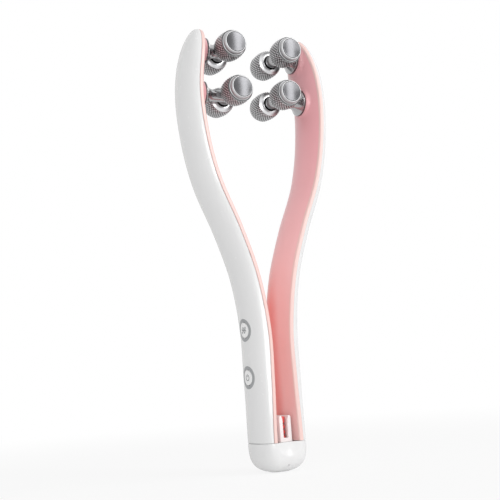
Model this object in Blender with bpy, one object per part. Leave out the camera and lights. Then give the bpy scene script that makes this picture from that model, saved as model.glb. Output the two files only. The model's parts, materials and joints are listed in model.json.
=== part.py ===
"""Handheld microcurrent face roller: two sprung arms that carry eight barrel rollers.

The origin is the middle of the base cap's flat underside. +Z runs up the handle to the
rollers, +X to the right arm, and -Y to the front. All lengths are in metres.
"""
import math

import bpy
import bmesh
from mathutils import Vector

# Whole object
TOTAL_HEIGHT = 0.1990
SEAM_HEIGHT = 0.0126
SEAM_GAP = 0.0004
FIT_GAP = 0.0003
CUT_OVERRUN = 0.002
FLATNESS = 0.0005

# The line of an arm's inner edge, as half of the gap between the arms at each height
ROOT_HALF_GAP = 0.0054
WAIST_HALF_GAP = 0.0046
WIDEST_HALF_GAP = 0.0295
TIP_HALF_GAP = 0.0244
FORK_HEIGHT = 0.062
WAIST_SHARE = 0.63
WIDEST_DROP = 0.0265
BOW_SHARES = ((0.22, 0.149), (0.41, 0.423), (0.61, 0.783), (0.80, 0.963))
SLOPE_STEP = 0.001

# The arm's section: its width, the depth of its outer shell and the crown of its inner panel
ROOT_HALF_WIDTH = 0.0111
TOP_HALF_WIDTH = 0.0118
ROOT_DEPTH = 0.0066
GRIP_DEPTH = 0.0078
BOW_DEPTH = 0.0072
TIP_DEPTH = 0.0070
GRIP_SHARE = 0.806
BOW_RISE = 0.028
SECTION_POWER = 2.1
GRIP_CROWN = 0.0003
PAD_CROWN = 0.0033
PAD_RISE = 0.038
TIP_WIDTH_ROUNDING = 0.0212
TIP_DEPTH_ROUNDING = 0.0178
POLE_SHARE = 0.995
POLE_OFFSET = 0.0004

# Walls of the two mouldings that make an arm
SHELL_WALL = 0.0016
PANEL_WALL = 0.0016
RIM_THICKNESS = 0.0016
RIM_ROUNDING = 0.0008
TONGUE_WALL = 0.0010
TONGUE_REACH = 0.0008
ARM_STATIONS = 17
TIP_STATIONS = 6
SHELL_SECTION_POINTS = 13
CROWN_POINTS = 7
TIP_SWEEP_SHARE = 0.90
TONGUE_LEAD = 0.35
HOLLOW_LEAD = 0.70

# Roller heads
UPPER_HEAD_DROP = 0.0095
HEAD_PITCH = 0.0206
UPPER_HUB_OFFSET = 0.01435
LOWER_HUB_OFFSET = 0.01256
SEAT_RADIUS = 0.0064
SEAT_RISE = 0.0005
SEAT_LANDING = 0.0013
GASKET_THICKNESS = 0.0004
GASKET_RADIUS = 0.0062
STEM_RIM_RADIUS = 0.0060
STEM_RIM_THICKNESS = 0.0004
STEM_NECK_RADIUS = 0.0027
STEM_FLARE_LENGTH = 0.0058
STEM_FLARE_STEPS = 4
STEM_FLARE_POWER = 2.6
SHANK_RADIUS = 0.0015
SHANK_TAIL = 0.0006
NUT_ACROSS_CORNERS = 0.0062
NUT_THICKNESS = 0.0018
NUT_SIDES = 6
CROSSBAR_RADIUS = 0.0030
CROSSBAR_HALF_LENGTH = 0.0079
AXLE_RADIUS = 0.0015
AXLE_HEAD_RADIUS = 0.0025
AXLE_HEAD_THICKNESS = 0.0008
STEM_SEGMENTS = 16
AXLE_SEGMENTS = 12

# Rollers, measured along the crossbar from its middle
ROLLER_INNER_END = 0.0043
ROLLER_OUTER_END = 0.0156
ROLLER_DOME_RADIUS = 0.0053
ROLLER_DOME_DEPTH = 0.0006
DOME_STEPS = 3
ROLLER_SHOULDER_RADIUS = 0.00615
ROLLER_BARREL_RADIUS = 0.00665
ROLLER_SHOULDER_LENGTH = 0.0010
ROLLER_BARREL_END = 0.01335
ROLLER_NECK_PLACE = 0.0137
ROLLER_NECK_RADIUS = 0.0052
ROLLER_COLLAR_RADIUS = 0.0054
ROLLER_COLLAR_START = 0.0141
ROLLER_COLLAR_END = 0.0150
ROLLER_END_RADIUS = 0.00495
ROLLER_BORE_RADIUS = 0.0018
ROLLER_RECESS_DEPTH = 0.0039
ROLLER_RECESS_RADIUS = 0.0034
ROLLER_WEB_END = 0.0132
ROLLER_SEGMENTS = 18
BARREL_STEPS = 4
END_CAP_RADIUS = 0.00445
END_CAP_THICKNESS = 0.0013
END_CAP_PROUD = 0.0003
END_CAP_BEVEL = 0.0003

# Base cap
CAP_STEPS = 7
CAP_POWER = 3.0
CAP_FLAT_SHARE = 0.36
CAP_HALF_POINTS = 13
SCOOP_HALF_WIDTH = 0.0052
SCOOP_DEPTH = 0.0012
SCOOP_BOTTOM = 0.0062
SCOOP_SEGMENTS = 32
SCOOP_RINGS = 12
PORT_HEIGHT = 0.0054
PORT_HALF_WIDTH = 0.0045
PORT_HALF_THICKNESS = 0.0016
PORT_WALL = 0.0003
PORT_DEPTH = 0.0060
PORT_INSET = 0.0004
PORT_TONGUE_HALF_WIDTH = 0.0033
PORT_TONGUE_HALF_THICKNESS = 0.00035
PORT_CORNER_STEPS = 5
LAMP_HEIGHT = 0.0031
LAMP_RADIUS = 0.0007
LAMP_LENGTH = 0.0015
LAMP_PROUD = 0.0001
LAMP_SLOPE = 0.62
LAMP_SEGMENTS = 12

# Flat steel spring that joins the arms through the base cap
SPRING_LEG_OFFSET = 0.0084
SPRING_THICKNESS = 0.0007
SPRING_HALF_WIDTH = 0.0050
SPRING_BOTTOM = 0.0081
SPRING_CORNER = 0.0016
SPRING_CORNER_STEPS = 4
SPRING_TOP_SHARE = 0.50

# Tension slider and its notched rack
SLIDER_TOP = 0.0241
SLIDER_HALF_WIDTH = 0.0029
SLIDER_HALF_LENGTH = 0.0087
SLIDER_BAR = 0.0017
SLIDER_SLOT_HALF_WIDTH = 0.0012
SLIDER_MOUTH_HALF_WIDTH = 0.0018
SLIDER_MOUTH_DEPTH = 0.0016
SLIDER_CORNER = 0.0005
WING_HALF_WIDTH = 0.0034
WING_HALF_LENGTH = 0.0055
WING_EDGE_INSET = 0.0014
RACK_HALF_WIDTH = 0.0011
RACK_HALF_LENGTH = 0.0064
RACK_TOP = 0.0236
NOTCH_FIRST = 0.0158
NOTCH_PITCH = 0.0023
NOTCH_COUNT = 3
NOTCH_DEPTH = 0.0010
NOTCH_HALF_HEIGHT = 0.00065

# Buttons on the left arm
MODE_BUTTON_SHARE = 1.003
POWER_BUTTON_SHARE = 0.668
BUTTON_RADIUS = 0.0033
BUTTON_PROUD = 0.00015
BUTTON_DOME = 0.00015
BUTTON_TRAVEL = 0.0005
BUTTON_FLANGE_RADIUS = 0.0041
BUTTON_FLANGE_THICKNESS = 0.0004
RING_RADIUS = 0.00505
RING_THICKNESS = 0.0007
RING_PROUD = 0.0001
RING_BEVEL = 0.0002
BUTTON_SEGMENTS = 24

# Electronics inside the arms
BOARD_THICKNESS = 0.0006
BOARD_HALF_WIDTH = 0.0062
BOARD_BOTTOM_SHARE = 0.565
BOARD_TOP_SHARE = 1.052
SOLDER_GAP = 0.0001
SWITCH_HALF_SIZE = 0.0021
SWITCH_PLUNGER_HALF_SIZE = 0.0010
SWITCH_PLUNGER_HEIGHT = 0.0005
BATTERY_THICKNESS = 0.0024
BATTERY_HALF_WIDTH = 0.0054
BATTERY_BOTTOM_SHARE = 0.556
BATTERY_TOP_SHARE = 1.040
BATTERY_ROUNDING = 0.0006

# Heights that follow the object's height, or the height at which the arms part
WIDEST_HEIGHT = TOTAL_HEIGHT - WIDEST_DROP
UPPER_HEAD_HEIGHT = TOTAL_HEIGHT - UPPER_HEAD_DROP
LOWER_HEAD_HEIGHT = UPPER_HEAD_HEIGHT - HEAD_PITCH
WAIST_HEIGHT = FORK_HEIGHT * WAIST_SHARE
GRIP_HEIGHT = FORK_HEIGHT * GRIP_SHARE
BOW_HEIGHT = FORK_HEIGHT + BOW_RISE
PAD_HEIGHT = FORK_HEIGHT + PAD_RISE
SPRING_LEG_TOP = FORK_HEIGHT * SPRING_TOP_SHARE
MODE_BUTTON_HEIGHT = FORK_HEIGHT * MODE_BUTTON_SHARE
POWER_BUTTON_HEIGHT = FORK_HEIGHT * POWER_BUTTON_SHARE
BOARD_BOTTOM = FORK_HEIGHT * BOARD_BOTTOM_SHARE
BOARD_TOP = FORK_HEIGHT * BOARD_TOP_SHARE
BATTERY_BOTTOM = FORK_HEIGHT * BATTERY_BOTTOM_SHARE
BATTERY_TOP = FORK_HEIGHT * BATTERY_TOP_SHARE


def clear_scene():
    for item in list(bpy.data.objects):
        bpy.data.objects.remove(item, do_unlink=True)


def make_material(name, colour, roughness, metallic):
    finish = bpy.data.materials.new(name)
    finish.use_nodes = True
    shader = finish.node_tree.nodes["Principled BSDF"]
    shader.inputs["Base Color"].default_value = (*colour, 1)
    shader.inputs["Roughness"].default_value = roughness
    shader.inputs["Metallic"].default_value = metallic
    finish.diffuse_color = (*colour, 1)
    return finish


def make_mesh(name, verts, faces, origin):
    """Builds a mesh whose points are given in world space, about the given origin."""
    mesh = bpy.data.meshes.new(name)
    mesh.from_pydata([tuple(Vector(point) - origin) for point in verts], [], faces)
    work = bmesh.new()
    work.from_mesh(mesh)
    bmesh.ops.connect_verts_nonplanar(work, angle_limit=FLATNESS, faces=work.faces)
    bmesh.ops.recalc_face_normals(work, faces=work.faces)
    work.to_mesh(mesh)
    work.free()
    mesh.validate()
    return mesh


def make_part(name, shape, finish, origin=Vector(), parent=None, smooth_angle=35):
    """Adds a sub-part at its origin, shaded smooth up to the given angle in degrees."""
    mesh = make_mesh(name, *shape, origin)
    mesh.materials.append(finish)
    mesh.shade_smooth()
    mesh.set_sharp_from_angle(angle=math.radians(smooth_angle))
    part = bpy.data.objects.new(name, mesh)
    bpy.context.collection.objects.link(part)
    place(part, origin, parent)
    return part


def place(part, origin, parent):
    """Puts an object at a world place, below its parent where it has one."""
    if parent is None:
        part.location = origin
        return
    part.parent = parent
    part.location = Vector(origin) - parent.location


def make_pivot(name, origin):
    pivot = bpy.data.objects.new(name, None)
    pivot.location = origin
    bpy.context.collection.objects.link(pivot)
    return pivot


def combine(part, shape, operation, name):
    """Joins a shape to a part, or cuts it out, with a live Boolean and a hidden tool body."""
    tool = bpy.data.objects.new(name, make_mesh(name, *shape, Vector()))
    tool.hide_render = True
    tool.display_type = "WIRE"
    bpy.context.collection.objects.link(tool)
    step = part.modifiers.new(name, "BOOLEAN")
    step.operation = operation
    step.solver = "EXACT"
    step.object = tool


def smooth_curve(points):
    """Returns a function through the points, with slopes taken from their neighbours.

    The first point is left level, so that whatever starts there starts upright.
    """
    slopes = [0]
    for before, after in zip(points[:-2], points[2:]):
        slopes.append((after[1] - before[1]) / (after[0] - before[0]))
    slopes.append((points[-1][1] - points[-2][1]) / (points[-1][0] - points[-2][0]))

    def value(place):
        place = min(max(place, points[0][0]), points[-1][0])
        index = max(i for i in range(len(points) - 1) if points[i][0] <= place)
        (x0, y0), (x1, y1) = points[index], points[index + 1]
        span = x1 - x0
        t = (place - x0) / span
        rise = y0 * (1 + 2 * t) * (1 - t) ** 2 + y1 * t * t * (3 - 2 * t)
        lean = slopes[index] * t * (1 - t) ** 2 + slopes[index + 1] * t * t * (t - 1)
        return rise + span * lean

    return value


def bow_point(shares):
    """Place on the bow of an arm, as shares of its height and of its spread."""
    height = FORK_HEIGHT + shares[0] * (WIDEST_HEIGHT - FORK_HEIGHT)
    gap = WAIST_HALF_GAP + shares[1] * (WIDEST_HALF_GAP - WAIST_HALF_GAP)
    return height, gap


half_gap = smooth_curve([
    (SEAM_HEIGHT, ROOT_HALF_GAP),
    (WAIST_HEIGHT, WAIST_HALF_GAP),
    (FORK_HEIGHT, WAIST_HALF_GAP),
    *map(bow_point, BOW_SHARES),
    (WIDEST_HEIGHT, WIDEST_HALF_GAP),
    (TOTAL_HEIGHT, TIP_HALF_GAP),
])
shell_depth = smooth_curve([
    (SEAM_HEIGHT, ROOT_DEPTH),
    (GRIP_HEIGHT, GRIP_DEPTH),
    (BOW_HEIGHT, BOW_DEPTH),
    (TOTAL_HEIGHT, TIP_DEPTH),
])


def ease(place, start, end):
    """Rises from 0 to 1 between two places, level at both."""
    share = min(max((place - start) / (end - start), 0), 1)
    return share * share * (3 - 2 * share)


def half_width(height):
    share = min(max((height - SEAM_HEIGHT) / (WIDEST_HEIGHT - SEAM_HEIGHT), 0), 1)
    return ROOT_HALF_WIDTH + share * (TOP_HALF_WIDTH - ROOT_HALF_WIDTH)


def crown(height):
    return GRIP_CROWN + (PAD_CROWN - GRIP_CROWN) * ease(height, FORK_HEIGHT, PAD_HEIGHT)


def tip_round(height, rounding, inset):
    """Quarter of an ellipse that closes the arm's tip, drawn in by the inset."""
    length = rounding - inset
    start = TOTAL_HEIGHT - rounding
    share = min(max((height - start) / length, 0), 1)
    return math.sqrt(1 - share * share)


def arm_frame(height, side):
    """Foot of the section at a height, and its direction out of the gap."""
    low = half_gap(height - SLOPE_STEP)
    high = half_gap(height + SLOPE_STEP)
    slope = 0 if height <= SEAM_HEIGHT + SEAM_GAP else (high - low) / (2 * SLOPE_STEP)
    outward = Vector((side, 0, -slope)).normalized()
    return Vector((side * half_gap(height), 0, height)), outward


def arm_heights(inset, start, lead=0):
    """Heights of the sections: even up to the tip's rounding, then even by angle.

    The lead shifts the sections of an inner body by a share of a step, so that its edges
    never meet those of the body around it.
    """
    bend = TOTAL_HEIGHT - TIP_WIDTH_ROUNDING
    steps = [(i + lead) / ARM_STATIONS for i in range(1, ARM_STATIONS)]
    heights = [start] + [start + (bend - start) * share for share in steps]
    turns = [(i + lead) / TIP_STATIONS for i in range(TIP_STATIONS)] + [1]
    for share in turns:
        angle = TIP_SWEEP_SHARE * math.pi / 2 * share
        heights.append(bend + (TIP_WIDTH_ROUNDING - inset) * math.sin(angle))
    return heights


def section_place(height, side, out, across):
    foot, outward = arm_frame(height, side)
    return foot + outward * out + Vector((0, across, 0))


def loft(rings, pole=None):
    """Closed body through rings of equally many points, ending flat or in a pole."""
    count = len(rings[0])
    verts = [point for ring in rings for point in ring]
    faces = [tuple(range(count))]
    for level in range(len(rings) - 1):
        for i in range(count):
            j = (i + 1) % count
            low = level * count
            faces.append((low + i, low + j, low + count + j, low + count + i))
    last = (len(rings) - 1) * count
    if pole is None:
        faces.append(tuple(last + i for i in range(count)))
        return verts, faces
    verts.append(pole)
    faces.extend((last + i, last + (i + 1) % count, len(verts) - 1) for i in range(count))
    return verts, faces


def turned(profile, segments, centre, axis, looped=False):
    """Body turned about an axis from points given as place along it and radius.

    A point on the axis becomes a pole. An end away from the axis is closed by a flat face.
    """
    axis = Vector(axis).normalized()
    first = axis.orthogonal().normalized()
    second = axis.cross(first)
    verts = []
    rings = []
    for along, radius in profile:
        if radius == 0:
            rings.append([len(verts)] * segments)
            verts.append(centre + axis * along)
            continue
        rings.append([len(verts) + i for i in range(segments)])
        for i in range(segments):
            angle = 2 * math.pi * i / segments
            spoke = first * math.cos(angle) + second * math.sin(angle)
            verts.append(centre + axis * along + spoke * radius)
    pairs = list(zip(rings, rings[1:]))
    if looped:
        pairs.append((rings[-1], rings[0]))
        faces = []
    else:
        faces = [tuple(ring) for ring in (rings[0], rings[-1]) if ring[0] != ring[1]]
    for low, high in pairs:
        for i in range(segments):
            j = (i + 1) % segments
            corners = (low[i], low[j], high[j], high[i])
            faces.append(tuple(dict.fromkeys(corners)))
    return verts, faces


def rod(start, end, radius, segments):
    """Round rod between two points."""
    axis = end - start
    return turned([(0, radius), (axis.length, radius)], segments, start, axis)


def extruded(outline, start, end):
    """Flat outline, given as points, carried from one offset to another."""
    rings = [[point + offset for point in outline] for offset in (start, end)]
    return loft(rings)


def block(low, high):
    outline = [
        Vector((low[0], low[1], low[2])),
        Vector((high[0], low[1], low[2])),
        Vector((high[0], high[1], low[2])),
        Vector((low[0], high[1], low[2])),
    ]
    return extruded(outline, Vector(), Vector((0, 0, high[2] - low[2])))


def shell_body(side, inset, mouth, start, lead=0):
    """D-shaped body of an arm, from the mouth plane out, drawn in by the inset."""
    rings = []
    base = max(mouth, 0)
    for height in arm_heights(inset, start, lead):
        width = (half_width(height) - inset) * tip_round(height, TIP_WIDTH_ROUNDING, inset)
        rise = tip_round(height, TIP_DEPTH_ROUNDING, inset)
        depth = shell_depth(height) - inset
        widest = math.acos((base / depth) ** (SECTION_POWER / 2))
        ring = []
        for i in range(SHELL_SECTION_POINTS):
            angle = widest * (2 * i / (SHELL_SECTION_POINTS - 1) - 1)
            out = depth * abs(math.cos(angle)) ** (2 / SECTION_POWER)
            swing = math.sin(angle)
            across = math.copysign(width * abs(swing) ** (2 / SECTION_POWER), swing)
            ring.append(section_place(height, side, base + (out - base) * rise, across))
        if mouth < 0:
            ring.append(section_place(height, side, mouth, width))
            ring.insert(0, section_place(height, side, mouth, -width))
        rings.append(ring)
    top = TOTAL_HEIGHT - inset - (1 - POLE_SHARE) * TIP_WIDTH_ROUNDING
    return loft(rings, section_place(top, side, base + POLE_OFFSET, 0))


def panel_outline(height, side, back):
    """Crowned front, rounded edges and straight back of an inner panel's section."""
    width = half_width(height) * tip_round(height, TIP_WIDTH_ROUNDING, 0)
    round_off = min(RIM_ROUNDING, width / 2)
    corner = round_off * (1 - math.cos(math.pi / 4))
    rise = crown(height) * (width / half_width(height)) ** 2
    points = [(back, -width), (round_off, -width), (corner, corner - width)]
    for i in range(CROWN_POINTS):
        share = 2 * i / (CROWN_POINTS - 1) - 1
        points.append((-rise * (1 - share * share), share * (width - round_off)))
    points.extend([(corner, width - corner), (round_off, width), (back, width)])
    return [section_place(height, side, out, across) for out, across in points]


def panel_body(side, back, start):
    """Body of an inner panel up to its back plane."""
    return loft([panel_outline(height, side, back) for height in arm_heights(0, start)])


def tongue_half_width(height):
    """Half width of a panel's tongue, which clears the shell's curved inner wall."""
    depth = shell_depth(height) - SHELL_WALL
    depth *= tip_round(height, TIP_DEPTH_ROUNDING, SHELL_WALL)
    share = 1 - ((RIM_THICKNESS + TONGUE_REACH) / depth) ** SECTION_POWER
    wall = half_width(height) - SHELL_WALL
    wall *= tip_round(height, TIP_WIDTH_ROUNDING, SHELL_WALL)
    return wall * share ** (1 / SECTION_POWER) - FIT_GAP


def tongue_inset(growth):
    """How far the tongue, or the space inside it, stands in from the arm's tip.

    The tongue ends where the shell's inner wall has come down to the tongue's reach.
    """
    share = (RIM_THICKNESS + TONGUE_REACH) / (TIP_DEPTH - SHELL_WALL)
    length = (TIP_DEPTH_ROUNDING - SHELL_WALL) * math.sqrt(1 - share ** 2)
    return TIP_DEPTH_ROUNDING - length + growth


def tongue_body(side, start):
    """Plain slab that stands behind the panel's rim and enters the shell's mouth."""
    inset = tongue_inset(0)
    rings = []
    for height in arm_heights(inset, start, TONGUE_LEAD):
        width = tongue_half_width(height)
        low = RIM_THICKNESS / 2
        high = RIM_THICKNESS + TONGUE_REACH
        corners = [(low, -width), (low, width), (high, width), (high, -width)]
        rings.append([section_place(height, side, *corner) for corner in corners])
    return loft(rings)


def seat_planes(height):
    """Distances from the middle plane to a seat's face, and to its landing inside the arm."""
    narrowing = tip_round(height, TIP_WIDTH_ROUNDING, 0)
    crest = half_gap(height) - crown(height) * narrowing ** 2
    return crest - SEAT_RISE, crest + PANEL_WALL + SEAT_LANDING


def make_arm(side, name, pivot, finishes):
    """Outer shell and inner panel of one arm, with the seats of its two roller stems."""
    start = SEAM_HEIGHT + SEAM_GAP
    mouth = RIM_THICKNESS + FIT_GAP
    shell = make_part(
        f"{name}_outer_shell", shell_body(side, 0, mouth, start), finishes["shell"],
        pivot.location, pivot)
    hollow = shell_body(side, SHELL_WALL, -CUT_OVERRUN, start - CUT_OVERRUN, HOLLOW_LEAD)
    combine(shell, hollow, "DIFFERENCE", f"{name}_shell_hollow")

    panel = make_part(
        f"{name}_inner_panel", panel_body(side, RIM_THICKNESS, start), finishes["panel"],
        pivot.location, pivot)
    combine(panel, tongue_body(side, start), "UNION", f"{name}_panel_tongue")
    hollow = hollow_panel(side, start - CUT_OVERRUN)
    combine(panel, hollow, "DIFFERENCE", f"{name}_panel_hollow")
    for level, height, _ in heads():
        face, landing = seat_planes(height)
        seat = rod(Vector((side * face, 0, height)), Vector((side * landing, 0, height)),
                   SEAT_RADIUS, STEM_SEGMENTS + STEM_SEGMENTS // 2)
        combine(panel, seat, "UNION", f"{name}_{level}_seat")
        hole = rod(Vector((side * (face - CUT_OVERRUN), 0, height)),
                   Vector((side * (landing + CUT_OVERRUN), 0, height)),
                   SHANK_RADIUS + FIT_GAP, STEM_SEGMENTS)
        combine(panel, hole, "DIFFERENCE", f"{name}_{level}_shank_hole")
    return shell, panel


def hollow_panel(side, start):
    """Space behind a panel's wall, which follows the crown of its front."""
    inset = tongue_inset(TONGUE_WALL)
    back = RIM_THICKNESS + TONGUE_REACH + CUT_OVERRUN
    rings = []
    for height in arm_heights(inset, start, HOLLOW_LEAD):
        full = half_width(height) * tip_round(height, TIP_WIDTH_ROUNDING, 0)
        width = tongue_half_width(height) - TONGUE_WALL
        rise = crown(height) * (full / half_width(height)) ** 2
        ring = [section_place(height, side, back, -width)]
        for i in range(CROWN_POINTS):
            across = width * (2 * i / (CROWN_POINTS - 1) - 1)
            out = PANEL_WALL - rise * (1 - (across / full) ** 2)
            ring.append(section_place(height, side, out, across))
        ring.append(section_place(height, side, back, width))
        rings.append(ring)
    return loft(rings)


def heads():
    """Level, height and hub offset of an arm's two roller heads."""
    return (("upper", UPPER_HEAD_HEIGHT, UPPER_HUB_OFFSET),
            ("lower", LOWER_HEAD_HEIGHT, LOWER_HUB_OFFSET))


def stem_profile(reach):
    """Trumpet from inside the crossbar to its rim, then the shank through the panel."""
    flare_start = reach - STEM_RIM_THICKNESS - STEM_FLARE_LENGTH
    profile = [(0, STEM_NECK_RADIUS)]
    for i in range(STEM_FLARE_STEPS + 1):
        share = i / STEM_FLARE_STEPS
        growth = (STEM_RIM_RADIUS - STEM_NECK_RADIUS) * share ** STEM_FLARE_POWER
        profile.append((flare_start + share * STEM_FLARE_LENGTH, STEM_NECK_RADIUS + growth))
    profile.append((reach, STEM_RIM_RADIUS))
    profile.append((reach, SHANK_RADIUS))
    return profile


def make_head(side, name, level, height, offset, pivot, finishes):
    """Stem, gasket, nut, axle and two capped rollers of one roller head."""
    outward = Vector((side, 0, 0))
    hub = Vector((side * offset, 0, height))
    face, landing = seat_planes(height)
    gasket_start = face - FIT_GAP - GASKET_THICKNESS
    reach = gasket_start - FIT_GAP - offset
    nut_start = landing + FIT_GAP
    tail = nut_start + NUT_THICKNESS + SHANK_TAIL - offset
    label = f"{name}_{level}"

    profile = stem_profile(reach) + [(tail, SHANK_RADIUS)]
    stem = make_part(
        f"{label}_stem", turned(profile, STEM_SEGMENTS, hub, outward),
        finishes["metal"], hub, pivot)
    along = Vector((0, 1, 0))
    half_bar = along * CROSSBAR_HALF_LENGTH
    crossbar = rod(hub - half_bar, hub + half_bar, CROSSBAR_RADIUS, STEM_SEGMENTS)
    combine(stem, crossbar, "UNION", f"{label}_crossbar")
    overrun = half_bar + along * CUT_OVERRUN
    bore = rod(hub - overrun, hub + overrun, AXLE_RADIUS + FIT_GAP, AXLE_SEGMENTS)
    combine(stem, bore, "DIFFERENCE", f"{label}_crossbar_bore")

    hole = SHANK_RADIUS + FIT_GAP
    ring = [(0, hole), (0, GASKET_RADIUS),
            (GASKET_THICKNESS, GASKET_RADIUS), (GASKET_THICKNESS, hole)]
    gasket_place = Vector((side * gasket_start, 0, height))
    make_part(f"{label}_gasket", turned(ring, STEM_SEGMENTS, gasket_place, outward, True),
              finishes["gasket"], gasket_place, pivot)

    nut_place = Vector((side * nut_start, 0, height))
    nut = make_part(f"{label}_nut", nut_shape(nut_place, outward), finishes["steel"],
                    nut_place, pivot, smooth_angle=20)
    nut_hole = rod(nut_place - outward * CUT_OVERRUN,
                   nut_place + outward * (NUT_THICKNESS + CUT_OVERRUN), hole, AXLE_SEGMENTS)
    combine(nut, nut_hole, "DIFFERENCE", f"{label}_nut_hole")

    head_start = ROLLER_WEB_END + FIT_GAP
    head_end = head_start + AXLE_HEAD_THICKNESS
    half_axle = [(head_start, AXLE_RADIUS), (head_start, AXLE_HEAD_RADIUS),
                 (head_end, AXLE_HEAD_RADIUS)]
    axle = [(-reach_y, radius) for reach_y, radius in reversed(half_axle)] + half_axle
    make_part(f"{label}_axle", turned(axle, AXLE_SEGMENTS, hub, along),
              finishes["steel"], hub, pivot)

    for end, direction in (("front", -along), ("back", along)):
        make_part(f"{label}_{end}_roller",
                  turned(roller_profile(), ROLLER_SEGMENTS, hub, direction, True),
                  finishes["metal"], hub, pivot)
        make_part(f"{label}_{end}_end_cap",
                  turned(end_cap_profile(), ROLLER_SEGMENTS, hub, direction),
                  finishes["polish"], hub, pivot)


def nut_shape(start, outward):
    profile = [(0, NUT_ACROSS_CORNERS / 2), (NUT_THICKNESS, NUT_ACROSS_CORNERS / 2)]
    return turned(profile, NUT_SIDES, start, outward)


def roller_profile():
    """Barrel with a domed inner end round a well, a bore and a pocket for its end cap."""
    barrel_start = ROLLER_INNER_END + ROLLER_SHOULDER_LENGTH
    bulge = ROLLER_BARREL_RADIUS - ROLLER_SHOULDER_RADIUS
    pocket = END_CAP_RADIUS + FIT_GAP
    profile = []
    for i in range(DOME_STEPS + 1):
        share = i / DOME_STEPS
        reach = share * (ROLLER_DOME_RADIUS - ROLLER_RECESS_RADIUS)
        along = ROLLER_INNER_END + ROLLER_DOME_DEPTH * share ** 2
        profile.append((along, ROLLER_RECESS_RADIUS + reach))
    for i in range(BARREL_STEPS + 1):
        share = i / BARREL_STEPS
        swell = 1 - (2 * share - 1) ** 2
        along = barrel_start + share * (ROLLER_BARREL_END - barrel_start)
        profile.append((along, ROLLER_SHOULDER_RADIUS + bulge * swell))
    profile.extend([
        (ROLLER_NECK_PLACE, ROLLER_NECK_RADIUS),
        (ROLLER_COLLAR_START, ROLLER_COLLAR_RADIUS),
        (ROLLER_COLLAR_END, ROLLER_COLLAR_RADIUS),
        (ROLLER_OUTER_END, ROLLER_END_RADIUS),
        (ROLLER_OUTER_END, pocket),
        (ROLLER_WEB_END, pocket),
        (ROLLER_WEB_END, ROLLER_BORE_RADIUS),
        (ROLLER_INNER_END + ROLLER_RECESS_DEPTH, ROLLER_BORE_RADIUS),
        (ROLLER_INNER_END + ROLLER_RECESS_DEPTH, ROLLER_RECESS_RADIUS),
    ])
    return profile


def end_cap_profile():
    end = ROLLER_OUTER_END + END_CAP_PROUD
    start = end - END_CAP_THICKNESS
    return [(start, END_CAP_RADIUS), (end - END_CAP_BEVEL, END_CAP_RADIUS),
            (end, END_CAP_RADIUS - END_CAP_BEVEL)]


def cap_ring(share, height):
    """The two arms' root sections as one outline, drawn in towards the axis by a share."""
    ring = []
    for side in (1, -1):
        for i in range(CAP_HALF_POINTS):
            angle = math.pi * (i / (CAP_HALF_POINTS - 1) - 1 / 2)
            swing = math.sin(angle)
            out = ROOT_DEPTH * abs(math.cos(angle)) ** (2 / SECTION_POWER)
            across = math.copysign(abs(swing) ** (2 / SECTION_POWER), swing)
            spot = Vector((side * (ROOT_HALF_GAP + out), side * ROOT_HALF_WIDTH * across, 0))
            ring.append(spot * share + Vector((0, 0, height)))
    return ring


def cap_reach(height):
    """Share of the full section that the cap's rounding leaves at a height."""
    drop = 1 - height / SEAM_HEIGHT
    return (1 - drop ** CAP_POWER) ** (1 / CAP_POWER)


def cap_body():
    """Bullet-shaped cap with a small flat underside."""
    flat_height = SEAM_HEIGHT * (1 - (1 - CAP_FLAT_SHARE ** CAP_POWER) ** (1 / CAP_POWER))
    rings = [cap_ring(CAP_FLAT_SHARE, 0)]
    for i in range(1, CAP_STEPS + 1):
        angle = math.pi / 2 * i / CAP_STEPS
        height = SEAM_HEIGHT * (1 - math.cos(angle) ** (2 / CAP_POWER))
        if height > flat_height:
            rings.append(cap_ring(cap_reach(height), height))
    return loft(rings)


def scoop_body(front):
    """Round-nosed bar that leaves a shallow U-shaped scoop in the cap's front or back."""
    radius = (SCOOP_HALF_WIDTH ** 2 + SCOOP_DEPTH ** 2) / (2 * SCOOP_DEPTH)
    centre = ROOT_HALF_WIDTH - SCOOP_DEPTH + radius
    level = SCOOP_BOTTOM + SCOOP_HALF_WIDTH
    profile = [(-radius, 0)]
    for i in range(1, SCOOP_RINGS + 1):
        angle = math.pi / 2 * i / SCOOP_RINGS
        profile.append((-radius * math.cos(angle), radius * math.sin(angle)))
    profile.append((SEAM_HEIGHT + CUT_OVERRUN - level, radius))
    foot = Vector((0, front * centre, level))
    return turned(profile, SCOOP_SEGMENTS, foot, (0, 0, 1))


def spring_outline(growth, top):
    """U-shaped strip seen from the front, grown on every side by a clearance."""
    half = SPRING_THICKNESS / 2 + growth
    points = []
    for offset in (half, -half):
        reach = SPRING_LEG_OFFSET + offset
        bottom = SPRING_BOTTOM + SPRING_THICKNESS / 2 - offset
        radius = SPRING_CORNER + offset
        path = [Vector((reach, 0, top))]
        for i in range(SPRING_CORNER_STEPS + 1):
            angle = math.pi / 2 * i / SPRING_CORNER_STEPS
            path.append(Vector((reach - radius * (1 - math.cos(angle)), 0,
                                bottom + radius * (1 - math.sin(angle)))))
        mirrored = [Vector((-point.x, 0, point.z)) for point in reversed(path)]
        whole = path + mirrored
        points.extend(whole if offset > 0 else reversed(whole))
    return points


def strip_body(growth, top):
    across = Vector((0, SPRING_HALF_WIDTH + growth, 0))
    return extruded(spring_outline(growth, top), -across, across)


def stadium(half_width_x, half_height_z, centre_z, place_y):
    """Outline with round ends, in a plane square to Y."""
    points = []
    for side in (1, -1):
        for i in range(PORT_CORNER_STEPS + 1):
            angle = math.pi * (i / PORT_CORNER_STEPS - 1 / 2)
            middle = half_width_x - half_height_z
            points.append(Vector((side * (middle + half_height_z * math.cos(angle)), place_y,
                                  centre_z + side * half_height_z * math.sin(angle))))
    return points


def lamp_direction():
    return Vector((0, -1, -LAMP_SLOPE)).normalized()


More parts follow.
